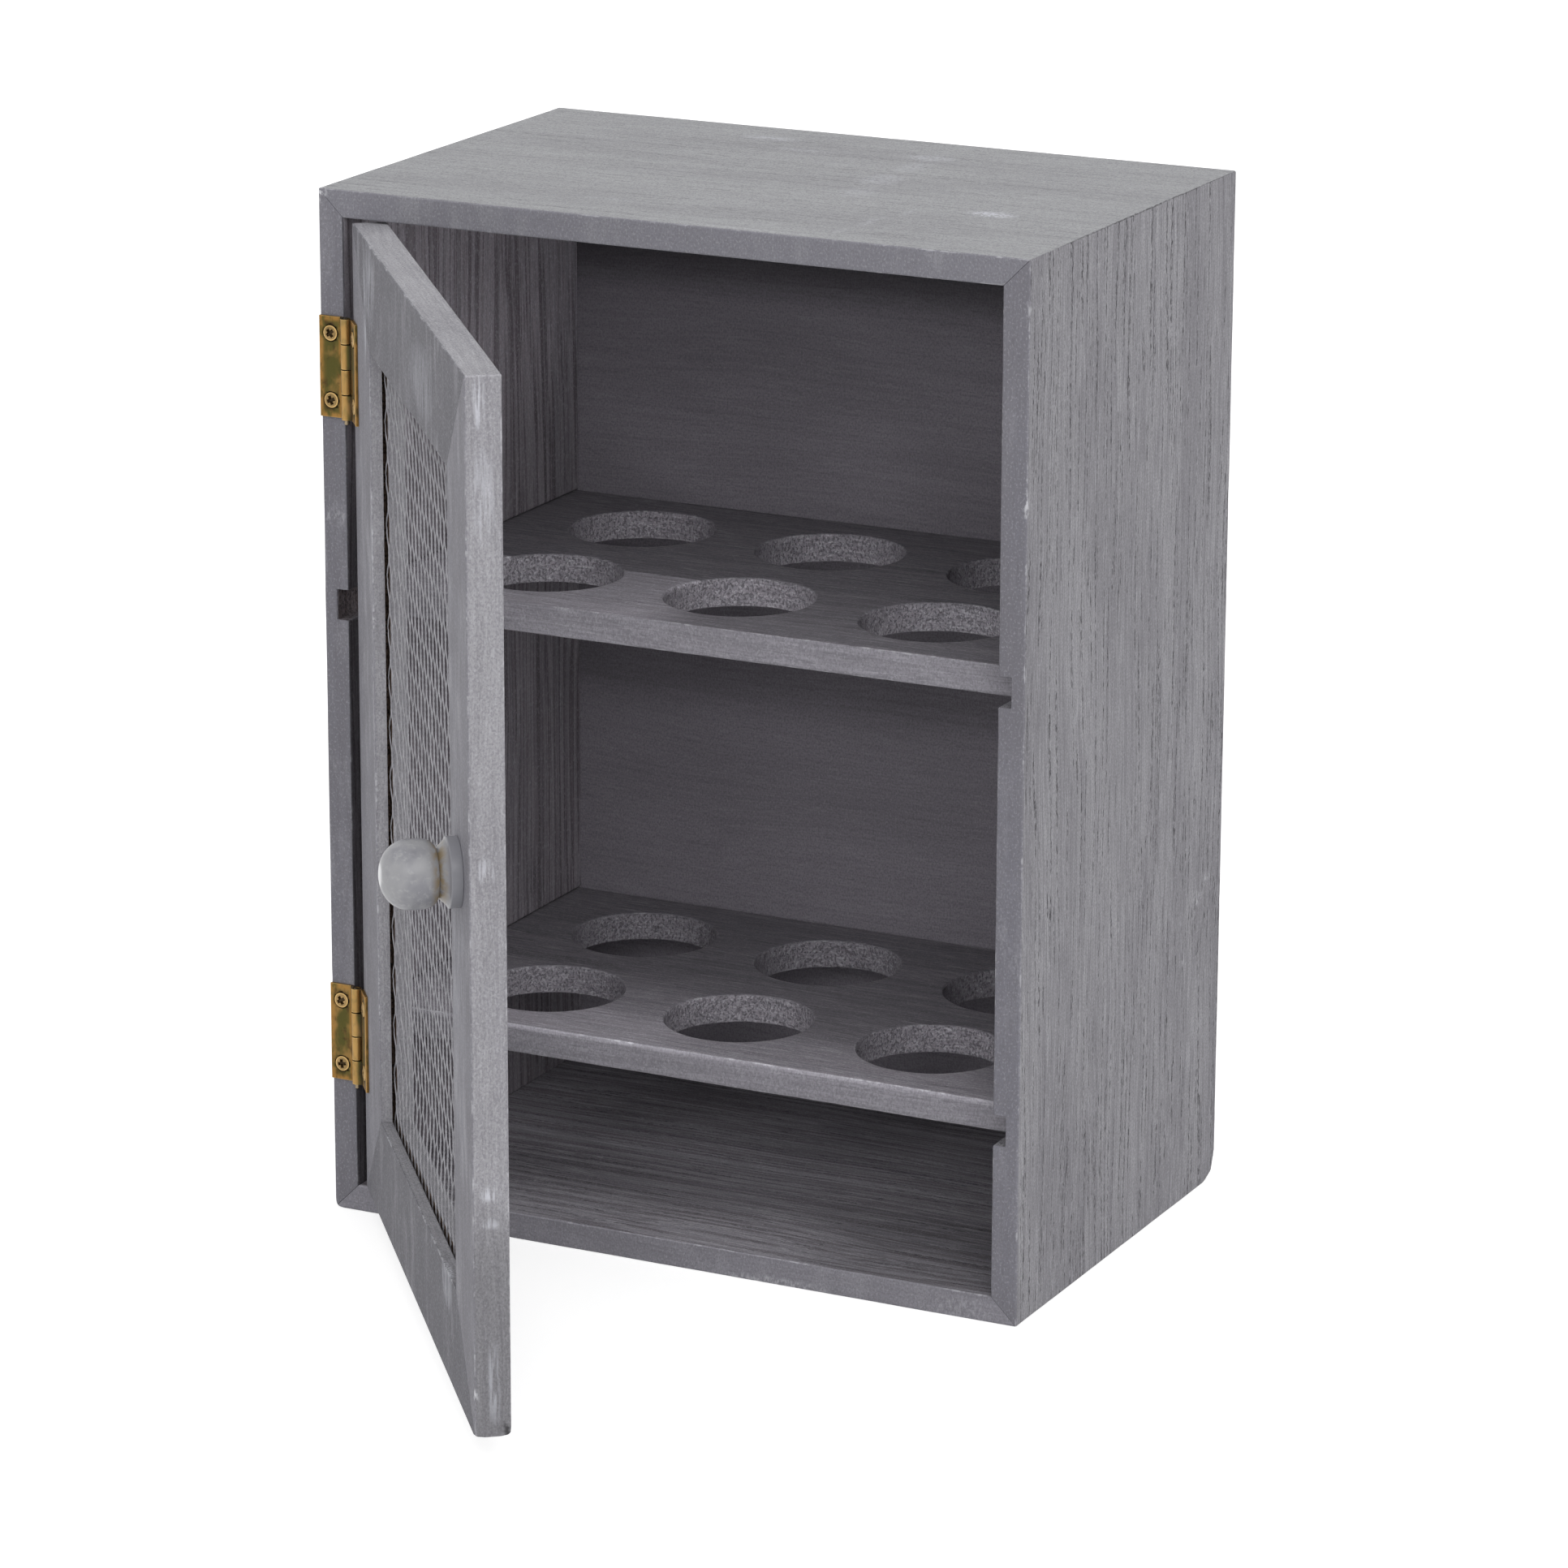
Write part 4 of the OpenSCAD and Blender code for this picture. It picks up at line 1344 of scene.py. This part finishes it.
@dataclass
class Knob:
    """Turned knob: a foot with a straight rim, a sharp neck, and a full rounded head."""

    x: float = 71.4
    z: float = 136.5
    foot: float = 8.1
    rim: float = 2.8
    round_r: float = 0.35
    neck: float = 5.4
    neck_at: float = 5.0
    head: float = 8.0
    length: float = 17.9

    def profile(self) -> tuple[np.ndarray, np.ndarray]:
        """Radii and heights: foot and rim, a shallow cone to the neck, then two full quarter curves,
        r = cos(t)^(2/n) and z = sin(t)^(2/n), with n 2.2 behind the widest place and 2.1 before it.

        Returns:
            The radii and heights, from the door out.
        """
        head_l = self.length - self.neck_at
        back, front = 0.34 * head_l, 0.55 * head_l
        t = np.linspace(0, math.pi / 2, 26)
        corner = np.linspace(0, math.pi / 2, 6)
        flat, bend = self.foot - self.round_r, self.round_r
        foot_r = [0.0, self.foot - 0.15, self.foot, *(flat + bend * np.cos(corner))]
        foot_z = [0.0, 0.0, 0.15, *(self.rim - bend + bend * np.sin(corner))]
        cone = np.linspace(0.0, 1.0, 9)[1:-1]
        cone_r = flat + (self.neck + 0.1 - flat) * cone ** 0.85
        cone_z = self.rim + (self.neck_at - self.rim) * cone
        back_r = self.neck + (self.head - self.neck) * np.cos(t) ** (2 / 2.2)
        back_z = self.neck_at + back - back * np.sin(t) ** (2 / 2.2)
        front_r = self.head * np.cos(t) ** (2 / 2.1)
        front_z = self.length - front + front * np.sin(t) ** (2 / 2.1)
        belly = np.linspace(back_z[0], front_z[0], 7)[1:-1]
        radii = np.concatenate([foot_r, cone_r, back_r[::-1], np.full(len(belly), self.head), front_r])
        heights = np.concatenate([foot_z, cone_z, back_z[::-1], belly, front_z])
        radii[-1] = 0.0
        return radii, heights

    def skin(self) -> Skin:
        """The knob on the closed door, with a bare neck and a painted highlight on its tip.

        Returns:
            The knob's skin.
        """
        skin = lathe(*self.profile(), 96)
        z = skin.points[:, 2]
        skin.values = {"bare": 1.0 - smooth(np.abs(z - self.neck_at), 0.25, 2.4),
                       "foot": 1.0 - smooth(z, self.rim, self.rim + 1.2)}
        skin = skin.placed(Lay.OUT_OF_FRONT, (self.x, FRONT, self.z))
        # A near-white mark of the chalk kind on the tip: a painted highlight.
        tip = (self.x, FRONT - self.length, self.z + 0.4)
        return marked(skin, wear_and_highlight_marks(Wear.CHALK, (*tip, 3.0, 0.9, 3.4, 0.9)))


@dataclass
class Brads:
    """Small round brads round a rectangle in a face that looks back: shallow domes on short shanks."""

    middle: Point
    aside: float
    above: float
    down_sides: tuple[float, ...]
    along_ends: tuple[float, ...]
    head: float = 0.8
    dome: float = 0.12
    shank: float = 0.4
    length: float = 2.0

    def skin(self) -> Skin:
        """The brads, down both sides and along both ends.

        Returns:
            All of them as one skin.
        """
        x, y, z = self.middle
        places = [(x + s * self.aside, y, z + d) for s in (-1, 1) for d in self.down_sides]
        places += [(x + d, y, z + s * self.above) for s in (-1, 1) for d in self.along_ends]
        t = np.linspace(0, math.pi / 2, 6)
        radii = np.concatenate([[0.0, self.shank, self.shank], self.head * np.cos(t)])
        heights = np.concatenate([[-self.length, -self.length, -0.1], self.dome * np.sin(t)])
        radii[-1] = 0.0
        brad, *others = (lathe(radii, heights, 16).placed(Lay.OUT_OF_BACK, place) for place in places)
        return brad.joined(*others)


@dataclass
class Case:
    """Mitred case with a back panel in a rebate and two shelves in grooves."""

    width: float = 188.0
    depth: float = 122.0
    height: float = 260.0
    board: float = 6.8
    groove: float = 3.3
    groove_play: float = 0.3
    upper: float = 160.5
    lower: float = 52.5
    shelf: float = 7.4
    back_lap: float = 3.0
    back: float = 3.0
    back_play: float = 0.2
    back_sunk: float = 0.15
    brad_in: float = 5.6
    ease: float = 0.5
    seed: int = 11
    marks: tuple[Mark, ...] = (
        *wear_and_highlight_marks(
            Wear.SMEAR,
            (-26, 47, 260, 9, 3, 2, 0.5), (-12, 36, 260, 10, 2.5, 2, 0.3), (21, 41, 260, 7, 4, 2, 0.5),
            (22, 28, 260, 4, 9, 2, 0.3), (22, 10, 260, 6, 8, 2, 0.35), (24, -6, 260, 5, 8, 2, 0.25),
            (64, -17, 260, 7, 3.5, 2, 1.0), (-25, -41, 260, 9, 1.5, 2, 0.3), (41, -51, 260, 0.6, 4, 2, 0.35),
            (42, -38, 260, 0.6, 9, 2, 0.5), (45, -24, 260, 0.7, 6, 2, 0.45)),
        *wear_and_highlight_marks(
            Wear.CHALK,
            (21, -59, 260, 18, 1, 1.5, 0.3), (-91, -61, 179, 4, 2, 2, 0.35), (94, -61, 202, 1, 1, 3.5, 0.8),
            (94, 46, 78, 1.5, 5, 1.2, 0.5), (94, 52, 82, 1.5, 3, 1, 0.4), (94, -61, 248, 1.2, 1.2, 1.8, 0.5),
            (-94, -61, 259, 2.5, 2.5, 2.5, 1.0), (80, -61, 2, 9, 2, 4, 0.2), (30, -61, 0.5, 16, 2, 1.5, 0.4)),
        *wear_and_highlight_marks(Wear.DIRT, (94, 0, 260, 0.35, 64, 0.35, 1.0)),
    )
    knocks: tuple[Knock, ...] = (Knock((94.0, 61.0, 0.0), 2.9), Knock((-94.0, -61.0, 0.0), 1.1))
    # Painted light on the left wall's inner face, strongest towards its top, and painted shade on the strip of it
    # just behind the front, beside the door's hinge side.
    wall_shades: tuple[PaintedShading, ...] = (
        PaintedShading((-87.3, -60.6, 6), (-87.1, 61, 254), (0.3, 0.3, 1), 0.4),
        PaintedShading((-87.3, -60.6, 215), (-87.1, 61, 254), (0.3, 0.3, 40), 0.75),
        PaintedShading((-87.3, -60.6, 6), (-87.1, -52, 254), (0.3, 3, 1), -0.85),
    )
    # Painted light on the floor's top, towards the back and at the front left.
    floor_shades: tuple[PaintedShading, ...] = (
        PaintedShading((-88, 5, 6.7), (88, 35, 6.9), (1, 30, 0.3), 0.6),
        PaintedShading((-88, -60.6, 6.7), (20, 0, 6.9), (30, 12, 0.3), 0.3),
    )
    # Painted shadow on the back panel, under the top board and under the upper shelf.
    back_shades: tuple[PaintedShading, ...] = (
        PaintedShading((-93, 50, 226), (93, 59, 260), (1, 1, 14), -0.7),
        PaintedShading((-93, 50, 119), (93, 59, 140), (1, 1, 18), -0.42),
    )
    # Painted light on the upper shelf's top and on its front edge, towards the left.
    upper_shades: tuple[PaintedShading, ...] = (
        PaintedShading((-91, -50.8, 160), (-20, -12, 161), (25, 0.3, 1), 1.0),
        PaintedShading((-91, -51, 153), (-30, -50.8, 161), (40, 0.1, 1), 0.35),
    )
    # Painted light on the lower shelf's top, along its front and towards the left.
    lower_shades: tuple[PaintedShading, ...] = (
        PaintedShading((-91, -50.9, 52), (91, -36, 53), (1, 14, 1), 0.5),
        PaintedShading((-91, -50.9, 52), (-15, -15, 53), (20, 15, 1), 0.4),
    )

    def boards(self, bench: Bench) -> None:
        """Makes the four mitred boards.

        Args:
            bench: Takes the pieces.
        """
        rebate = Notch(self.back_lap, behind=self.depth - self.back, lip=0.15)
        grooves = (Notch(self.groove, z - self.shelf, z + self.groove_play) for z in (self.upper, self.lower))
        low = np.array([-self.width / 2, -self.depth / 2, 0.0])
        high = np.array([self.width / 2, self.depth / 2, self.height])
        size = {"width": self.board, "thick": self.depth}
        skins = mitred(tuple(low), high[0], self.height, self.seed, {**size, "notches": (*grooves, rebate)},
                       {**size, "notches": (rebate,)})
        # Each board's wash and front colour are set to the level its faces show lit: the top and right side
        # lighter, the fronts darker. These lit and shaded copies of one wash are painted light and shade.
        jobs = {
            Lay.LEFT: ("left", "left_side", self.wall_shades, GreyWash(
                "wash_left_side", Grain.UPRIGHT, wash="#968f95", front="#7a7981", pores=0.35, lines=0.6,
                stripes=0.75, seed=8.0)),
            Lay.RIGHT: ("right", "right_side", (), GreyWash(
                "wash_right_side", Grain.UPRIGHT, wash="#9a999d", front="#797881", pores=1.0, lines=0.75,
                smears=0.15, clouds=0.5, seed=3.0)),
            Lay.BOTTOM: ("bottom", "bottom_board", self.floor_shades, GreyWash(
                "wash_floor", Grain.ACROSS, wash="#949197", front="#8b8991", pores=0.8, lines=0.9,
                stripes=0.6, seed=6.0)),
            Lay.TOP: ("top", "top_board", (), GreyWash(
                "wash_top", Grain.ACROSS, wash="#a4a5a7", front="#7f7e86", pale="#b0b1b3", pores=0.35,
                lines=0.2, clouds=0.2, seed=5.0)),
        }
        for number, (lay, skin) in enumerate(skins.items()):
            name, node, shades, look = jobs[lay]
            radius = worn_radius(skin.points, self.ease, self.seed + 20 + number, self.knocks)
            skin.points = eased(skin.points, low, high, radius)
            if lay is Lay.LEFT:
                skin.values["bare"] = 0.3 * skin.values["sawn"]
            bench.hang(marked(skin, self.marks, shades), f"{name}_case_board", Body.CASE, look, "painted_wood",
                       (node,))

    def back_skin(self) -> Skin:
        """The back panel: a block with softly eased arrises, set in a little so that its brads stand clear.

        Returns:
            The panel's skin.
        """
        lap = self.back_lap - self.back_play
        size = np.array([self.width - 2 * self.board + 2 * lap, self.back - self.back_sunk,
                         self.height - 2 * self.board + 2 * lap])
        block = shell(samples(size[0], 4.0), samples(size[1], 1.0), samples(size[2], 4.0))
        arris = arris_distance(block.points, np.zeros(3), size)
        points = eased(block.points, np.zeros(3), size, worn_radius(block.points, 0.35, 41))
        points += np.array([-size[0] / 2, self.depth / 2 - self.back, self.board - lap])
        return marked(Skin(points, block.faces, {"arris": arris}), (), self.back_shades)

    def build(self, bench: Bench) -> None:
        """Makes the case.

        Args:
            bench: Takes the pieces.
        """
        self.boards(bench)
        back_look = GreyWash("wash_back", Grain.ACROSS, wash="#96919a", deep="#6f6b72", pores=0.05, lines=0.25,
                             mottle=0.12, clouds=0.25, smears=0.0, scuffs=0.0, rub=0.4, seed=12.0)
        bench.hang(self.back_skin(), "back_sheet", Body.CASE, back_look, "inside_wood", ("back_panel",))
        brads = Brads((0.0, self.depth / 2 - self.back_sunk, self.height / 2), self.width / 2 - self.brad_in,
                      self.height / 2 - self.brad_in, (-102, -34, 34, 102), (-50, 0, 50))
        bench.hang(brads.skin(), "back_brads", Body.CASE, DrawnSteel("brad_steel"), "steel")
        # The shelves' front colour is lighter than their wash, for the painted light on their outer walls.
        shelf_look = GreyWash("wash_shelf", Grain.ACROSS, wash="#8a858c", front="#a3a1aa", pores=0.4, lines=0.9,
                              stripes=0.2, scuffs=0.05, rub=0.5, seed=14.0)
        for name, top, seed, shades in (("upper", self.upper, 51, self.upper_shades),
                                        ("lower", self.lower, 61, self.lower_shades)):
            bench.hang(marked(Shelf(top, seed).skin(), (), shades), f"{name}_pierced_shelf", Body.CASE,
                       shelf_look, "inside_wood", (f"{name}_shelf",))


@dataclass
class Door:
    """Mitred door frame with a rebate, the netting in it, and the beads that hold the netting."""

    left: float = -84.6
    right: float = 86.6
    foot: float = 7.4
    height: float = 245.2
    thick: float = 8.3
    frame_w: float = 26.0
    lip: float = 3.0
    rebate: float = 5.0
    slot: float = 1.2
    play: float = 0.2
    ease: float = 0.17
    brad_in: float = 2.4
    seed: int = 90
    marks: tuple[Mark, ...] = (
        *wear_and_highlight_marks(
            Wear.SMEAR,
            (86.6, -58, 247, 1.5, 1.1, 7, 0.6), (86.6, -57, 226, 1.5, 3, 12, 0.3),
            (86.6, -57.3, 141, 1.5, 2.2, 3, 0.5), (86.6, -57, 65.4, 1.5, 2.6, 2, 0.8),
            (86.6, -57, 58.2, 1.5, 2.6, 1.3, 0.7), (86.6, -56.8, 20, 1.5, 1, 13, 0.9),
            (47, -61, 31, 8, 1.5, 7, 0.7), (25, -61, 238, 20, 1.5, 9, 0.35), (-57, -61, 243, 8, 1.5, 13, 0.4),
            (-65, -61, 236, 2, 1.5, 16, 0.7), (70, -61, 120, 12, 1.5, 60, 0.2)),
        *wear_and_highlight_marks(
            Wear.CHALK,
            (86.6, -57, 130, 1.5, 0.5, 125, 0.3), (86.3, -61, 17.5, 1.2, 1, 1.8, 1.0),
            (-60, -61, 150, 1, 2, 60, 0.35)),
        *wear_and_highlight_marks(Wear.DIRT, (86.6, -52.7, 9, 1.5, 2.5, 3, 0.8)),
    )
    knocks: tuple[Knock, ...] = (Knock((86.6, -61.0, 7.4), 1.0), Knock((86.6, -52.7, 7.4), 1.0))
    # Painted light on the free edge above and painted shade on it below, and painted light on the door's top face
    # and on the hinge stile's reveal.
    shades: tuple[PaintedShading, ...] = (
        PaintedShading((86.4, -60.6, 70), (87, -53, 253), (0.3, 0.3, 25), 0.28),
        PaintedShading((86.4, -60.6, 7), (87, -53, 50), (0.3, 0.3, 20), -0.18),
        PaintedShading((-84.6, -60.6, 252.4), (86.6, -53, 253), (1, 0.3, 0.3), 0.3),
        PaintedShading((-58.8, -60.8, 33), (-58.4, -58, 227), (0.3, 0.3, 1), 0.2),
    )
    # The stiles' and rails' front colours are set darker than their wash: painted shade.
    upright: GreyWash = GreyWash("wash_stile", Grain.UPRIGHT_DOOR, wash="#929195", front="#807f86", pores=0.12,
                                 lines=0.3, smears=0.45, mottle=0.5, clouds=0.25, rub=0.55, seed=21.0)
    level: GreyWash = GreyWash("wash_rail", Grain.ACROSS_DOOR, wash="#929195", front="#69686e", deep="#5a595f",
                               pores=0.1, lines=0.25, smears=0.35, mottle=0.5, clouds=0.25, rub=0.5, seed=24.0)

    def members(self, inset: float, y: float, **sizes: object) -> dict[Lay, Skin]:
        """Four mitred members round the door at one inset.

        Args:
            inset: Distance from the door's edge to the members' outer side.
            y: Distance from the door's front face to theirs.
            **sizes: Width, thickness and the rest of a member.

        Returns:
            The skins on the closed door.
        """
        corner = (self.left + inset, FRONT + y, self.foot + inset)
        return mitred(corner, self.right - inset, self.height - 2 * inset, self.seed - 20 + int(inset), sizes,
                      sizes)

    def hang(self, bench: Bench, members: dict[Lay, Skin], name: str, node: str) -> None:
        """Hangs four members where the door stands.

        Args:
            bench: Takes the pieces.
            members: Their skins on the closed door.
            name: Pattern of the pieces' names.
            node: Pattern of the CAD nodes' names.
        """
        places = {Lay.LEFT: "hinge_stile", Lay.RIGHT: "free_stile", Lay.BOTTOM: "bottom_rail", Lay.TOP: "top_rail"}
        for lay, skin in members.items():
            look = self.upright if lay in UPRIGHTS else self.level
            bench.hang(skin.on_door(), name.format(places[lay]), Body.DOOR, look, "painted_wood",
                       (node.format(places[lay]),))

    def build(self, bench: Bench) -> None:
        """Makes the door's frame, beads, brads and netting.

        Args:
            bench: Takes the pieces.
        """
        low = np.array([self.left, FRONT, self.foot])
        high = np.array([self.right, FRONT + self.thick, self.foot + self.height])
        rebate = Notch(self.rebate, behind=self.lip, lip=0.12)
        members = self.members(0.0, 0.0, width=self.frame_w, thick=self.thick, step=1.1, ease=0.16,
                               notches=(rebate,))
        for skin in members.values():
            radius = worn_radius(skin.points, self.ease, self.seed, self.knocks)
            skin.points = eased(skin.points, low, high, radius)
            skin.values["bare"] = 0.9 * skin.values["sawn"]
            marked(skin, self.marks, self.shades)
        self.hang(bench, members, "{}_frame", "door_{}")
        inset, depth = self.frame_w - self.rebate + self.play, self.lip + self.slot
        beads = self.members(inset, depth, width=self.frame_w - inset, thick=self.thick - depth, ease=0.3,
                             reach=14.0)
        for skin in beads.values():
            skin.values["bare"] = (skin.points[:, 1] < FRONT + depth + 0.05).astype(float)
        self.hang(bench, beads, "{}_strip", "{}_bead")
        x, in_bead = (self.left + self.right) / 2, inset + self.brad_in
        brads = Brads((x, high[1], self.foot + self.height / 2), self.right - x - in_bead,
                      self.height / 2 - in_bead, (-72, -24, 24, 72), (-42, 0, 42))
        bench.hang(brads.skin().on_door(), "bead_brads", Body.DOOR, DrawnSteel("brad_steel"), "steel")
        bench.hang(Netting().skin().on_door(), "hexagonal_netting", Body.DOOR, PaintedWire("wash_on_wire"),
                   "painted_wire", ("wire_netting",), crease=80.0)


def stand(data: bpy.types.ID, x: np.ndarray, back: np.ndarray, place: np.ndarray) -> bpy.types.Object:
    """Stands a camera or a light in the scene.

    Args:
        data: The camera or light.
        x: Where its right side points.
        back: Where its back points.
        place: Where it stands, in metres.

    Returns:
        Its object.
    """
    thing = bpy.data.objects.new(data.name, data)
    bpy.context.scene.collection.objects.link(thing)
    rows = np.eye(4)
    rows[:3] = np.stack([x, np.cross(back, x), back, place], axis=1)
    thing.matrix_world = Matrix(rows.tolist())
    return thing


def seen_by(tree: bpy.types.NodeTree, *kinds: str) -> Socket:
    """A mask that is 1 for rays of the given kinds.

    Args:
        tree: Node tree that gets it.
        *kinds: Blender's names for the kinds of ray.

    Returns:
        The mask.
    """
    path = add_node(tree, "LightPath", {}, {})
    return functools.reduce(
        lambda a, b: add_node(tree, "Math", {"operation": "MAXIMUM"}, {0: a, 1: b}).outputs[0],
        [path.outputs[f"Is {kind} Ray"] for kind in kinds])


@dataclass
class Studio:
    """Camera at the photograph's place, a soft light, and a pale floor."""

    focal: float = 8036.6
    picture: float = 1932.0
    sensor: float = 36.0
    yaw: float = 26.366
    pitch: float = 16.158
    roll: float = 0.177
    place: Point = (693.6, -1396.6, 559.1)
    surround: float = 0.85
    floor_glow: float = 0.6

    def camera(self) -> None:
        """Adds the camera: its axes from yaw about z, then pitch down, then roll."""
        yaw, pitch, roll = (math.radians(a) for a in (self.yaw, self.pitch, self.roll))
        level = np.array([-math.sin(yaw), math.cos(yaw), 0.0])
        right = np.array([math.cos(yaw), math.sin(yaw), 0.0])
        ahead = level * math.cos(pitch) + np.array([0.0, 0.0, -1.0]) * math.sin(pitch)
        x = right * math.cos(roll) + np.cross(right, ahead) * math.sin(roll)
        data = bpy.data.cameras.new("photo_camera")
        data.sensor_fit = "HORIZONTAL"
        data.sensor_width = self.sensor
        data.lens = self.sensor * self.focal / self.picture
        data.clip_start, data.clip_end = 0.05, 50.0
        bpy.context.scene.camera = stand(data, x, -ahead, np.array(self.place) * MM)

    def lamp(self, name: str, place: Point, size: tuple[float, float], power: float) -> None:
        """Adds a soft rectangular light that looks at the cupboard's middle.

        Args:
            name: The light's name.
            place: Where it hangs, in metres.
            size: Its width and height, in metres.
            power: Its power, in watts.
        """
        data = bpy.data.lights.new(name, "AREA")
        data.shape = "RECTANGLE"
        data.size, data.size_y = size
        data.energy = power
        back = np.array(place) - np.array([0.0, 0.0, 0.12])
        back /= np.linalg.norm(back)
        x = np.cross([0.0, 0.0, 1.0], back)
        stand(data, x / np.linalg.norm(x), back, np.array(place))

    def floor(self) -> None:
        """Adds a pale floor that looks white to the camera and in gloss, and keeps the contact shadow."""
        mesh = bpy.data.meshes.new("floor")
        side = 6.0
        mesh.from_pydata([(-side, -side, 0), (side, -side, 0), (side, side, 0), (-side, side, 0)], [],
                         [(0, 1, 2, 3)])
        floor = bpy.data.objects.new("floor", mesh)
        bpy.context.scene.collection.objects.link(floor)
        coat = Coat("pale_floor", "#dcdcdc", {"Roughness": 0.9, "Specular IOR Level": 0.0})
        strength = coat.times(seen_by(coat.tree, "Camera", "Glossy", "Transmission"), self.floor_glow)
        glow = coat.node("Emission", {}, {"Color": (1, 1, 1, 1), "Strength": strength})
        both = coat.node("AddShader", {}, {0: coat.shader.outputs[0], 1: glow})
        coat.tree.links.new(both, coat.output.inputs["Surface"])
        mesh.materials.append(coat.material)

    def world(self) -> None:
        """Sets an even pale surround that looks white to the camera."""
        world = bpy.data.worlds.new("surround")
        bpy.context.scene.world = world
        world.use_nodes = True
        tree = world.node_tree
        tree.nodes.clear()
        seen = seen_by(tree, "Camera", "Transmission")
        level = add_node(tree, "MapRange", {}, {"Value": seen, "To Min": self.surround, "To Max": 1.0})
        glow = add_node(tree, "Background", {}, {"Color": (1, 1, 1, 1), "Strength": level.outputs[0]})
        add_node(tree, "OutputWorld", {}, {"Surface": glow.outputs[0]})

    def build(self) -> None:
        """Sets up the whole studio."""
        self.camera()
        self.floor()
        self.world()
        self.lamp("soft_box_right", (1.7, -0.6, 2.2), (1.6, 1.6), 9.0)
        self.lamp("soft_box_high", (1.0, -2.0, 1.6), (1.6, 1.2), 12.0)
        self.lamp("strip_left", (-1.5, -1.3, 0.7), (0.25, 1.1), 0.8)
        bpy.context.scene.view_settings.view_transform = "Standard"


def dress_nodes(bench: Bench) -> None:
    """Gives every CAD node a finish of its own kind, shown or not.

    Args:
        bench: Holds the finishes.
    """
    wood, steel = GreyWash("wash_plain", Grain.UPRIGHT), DrawnSteel("brad_steel")
    for name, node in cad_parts.items():
        look: Finish = wood
        if "leaf" in name or "hinge_screws" in name:
            look = AgedBrass("brass_plain")
        elif "pin" in name or name == "knob_screw":
            look = steel
        elif name == "wire_netting":
            look = PaintedWire("wash_on_wire")
        elif name == "knob":
            look = TurnedWood("wash_on_knob")
        node.data.materials.clear()
        node.data.materials.append(bench.finish(look))


def main() -> None:
    """Builds the cupboard piece by piece, then the studio."""
    logging.basicConfig(level=logging.INFO, format="%(message)s")
    bench = Bench()
    dress_nodes(bench)
    case, door, knob = Case(), Door(), Knob()
    case.build(bench)
    door.build(bench)
    look = AgedBrass("brass_case_leaf", seed=2.0)
    # The door's leaf takes a darker copy of the same brass: painted shade.
    dull = AgedBrass("brass_door_leaf", metal="#7d6036", clouds=0.85, seed=6.0)
    head = AgedBrass("brass_screw", metal="#a5885c", clouds=0.25, seed=9.0)
    steel = DrawnSteel("pin_steel", metal="#8f8068", dull="#5a4f40")
    upper = ButtHinge("upper", 216.5, (38, 22, 10, 60))
    lower = ButtHinge("lower", 47.0, (30, 8, 75, 33))
    for hinge in (upper, lower):
        hinge.build(bench, look, dull, steel)
    case_screws = upper.screws(False).joined(lower.screws(False))
    door_screws = upper.screws(True).joined(lower.screws(True)).on_door()
    bench.hang(case_screws, "case_leaf_screws", Body.CASE, head, "aged_brass", ("case_hinge_screws",))
    bench.hang(door_screws, "door_leaf_screws", Body.DOOR, head, "aged_brass", ("door_hinge_screws",))
    bench.hang(knob.skin().on_door(), "turned_knob", Body.DOOR, TurnedWood("wash_on_knob"), "painted_wood",
               ("knob",))
    long_screw = CrossScrew(head=2.8, shank=1.4, cone=1.4, length=18.0, dome=0.0, recess=1.2, turn=0.5).skin()
    long_screw = long_screw.placed(Lay.OUT_OF_BACK, (knob.x, FRONT + door.thick, knob.z)).on_door()
    bench.hang(long_screw, "knob_screw_crossed", Body.DOOR, steel, "steel", ("knob_screw",))
    Studio().build()


if __name__ == "__main__":
    main()
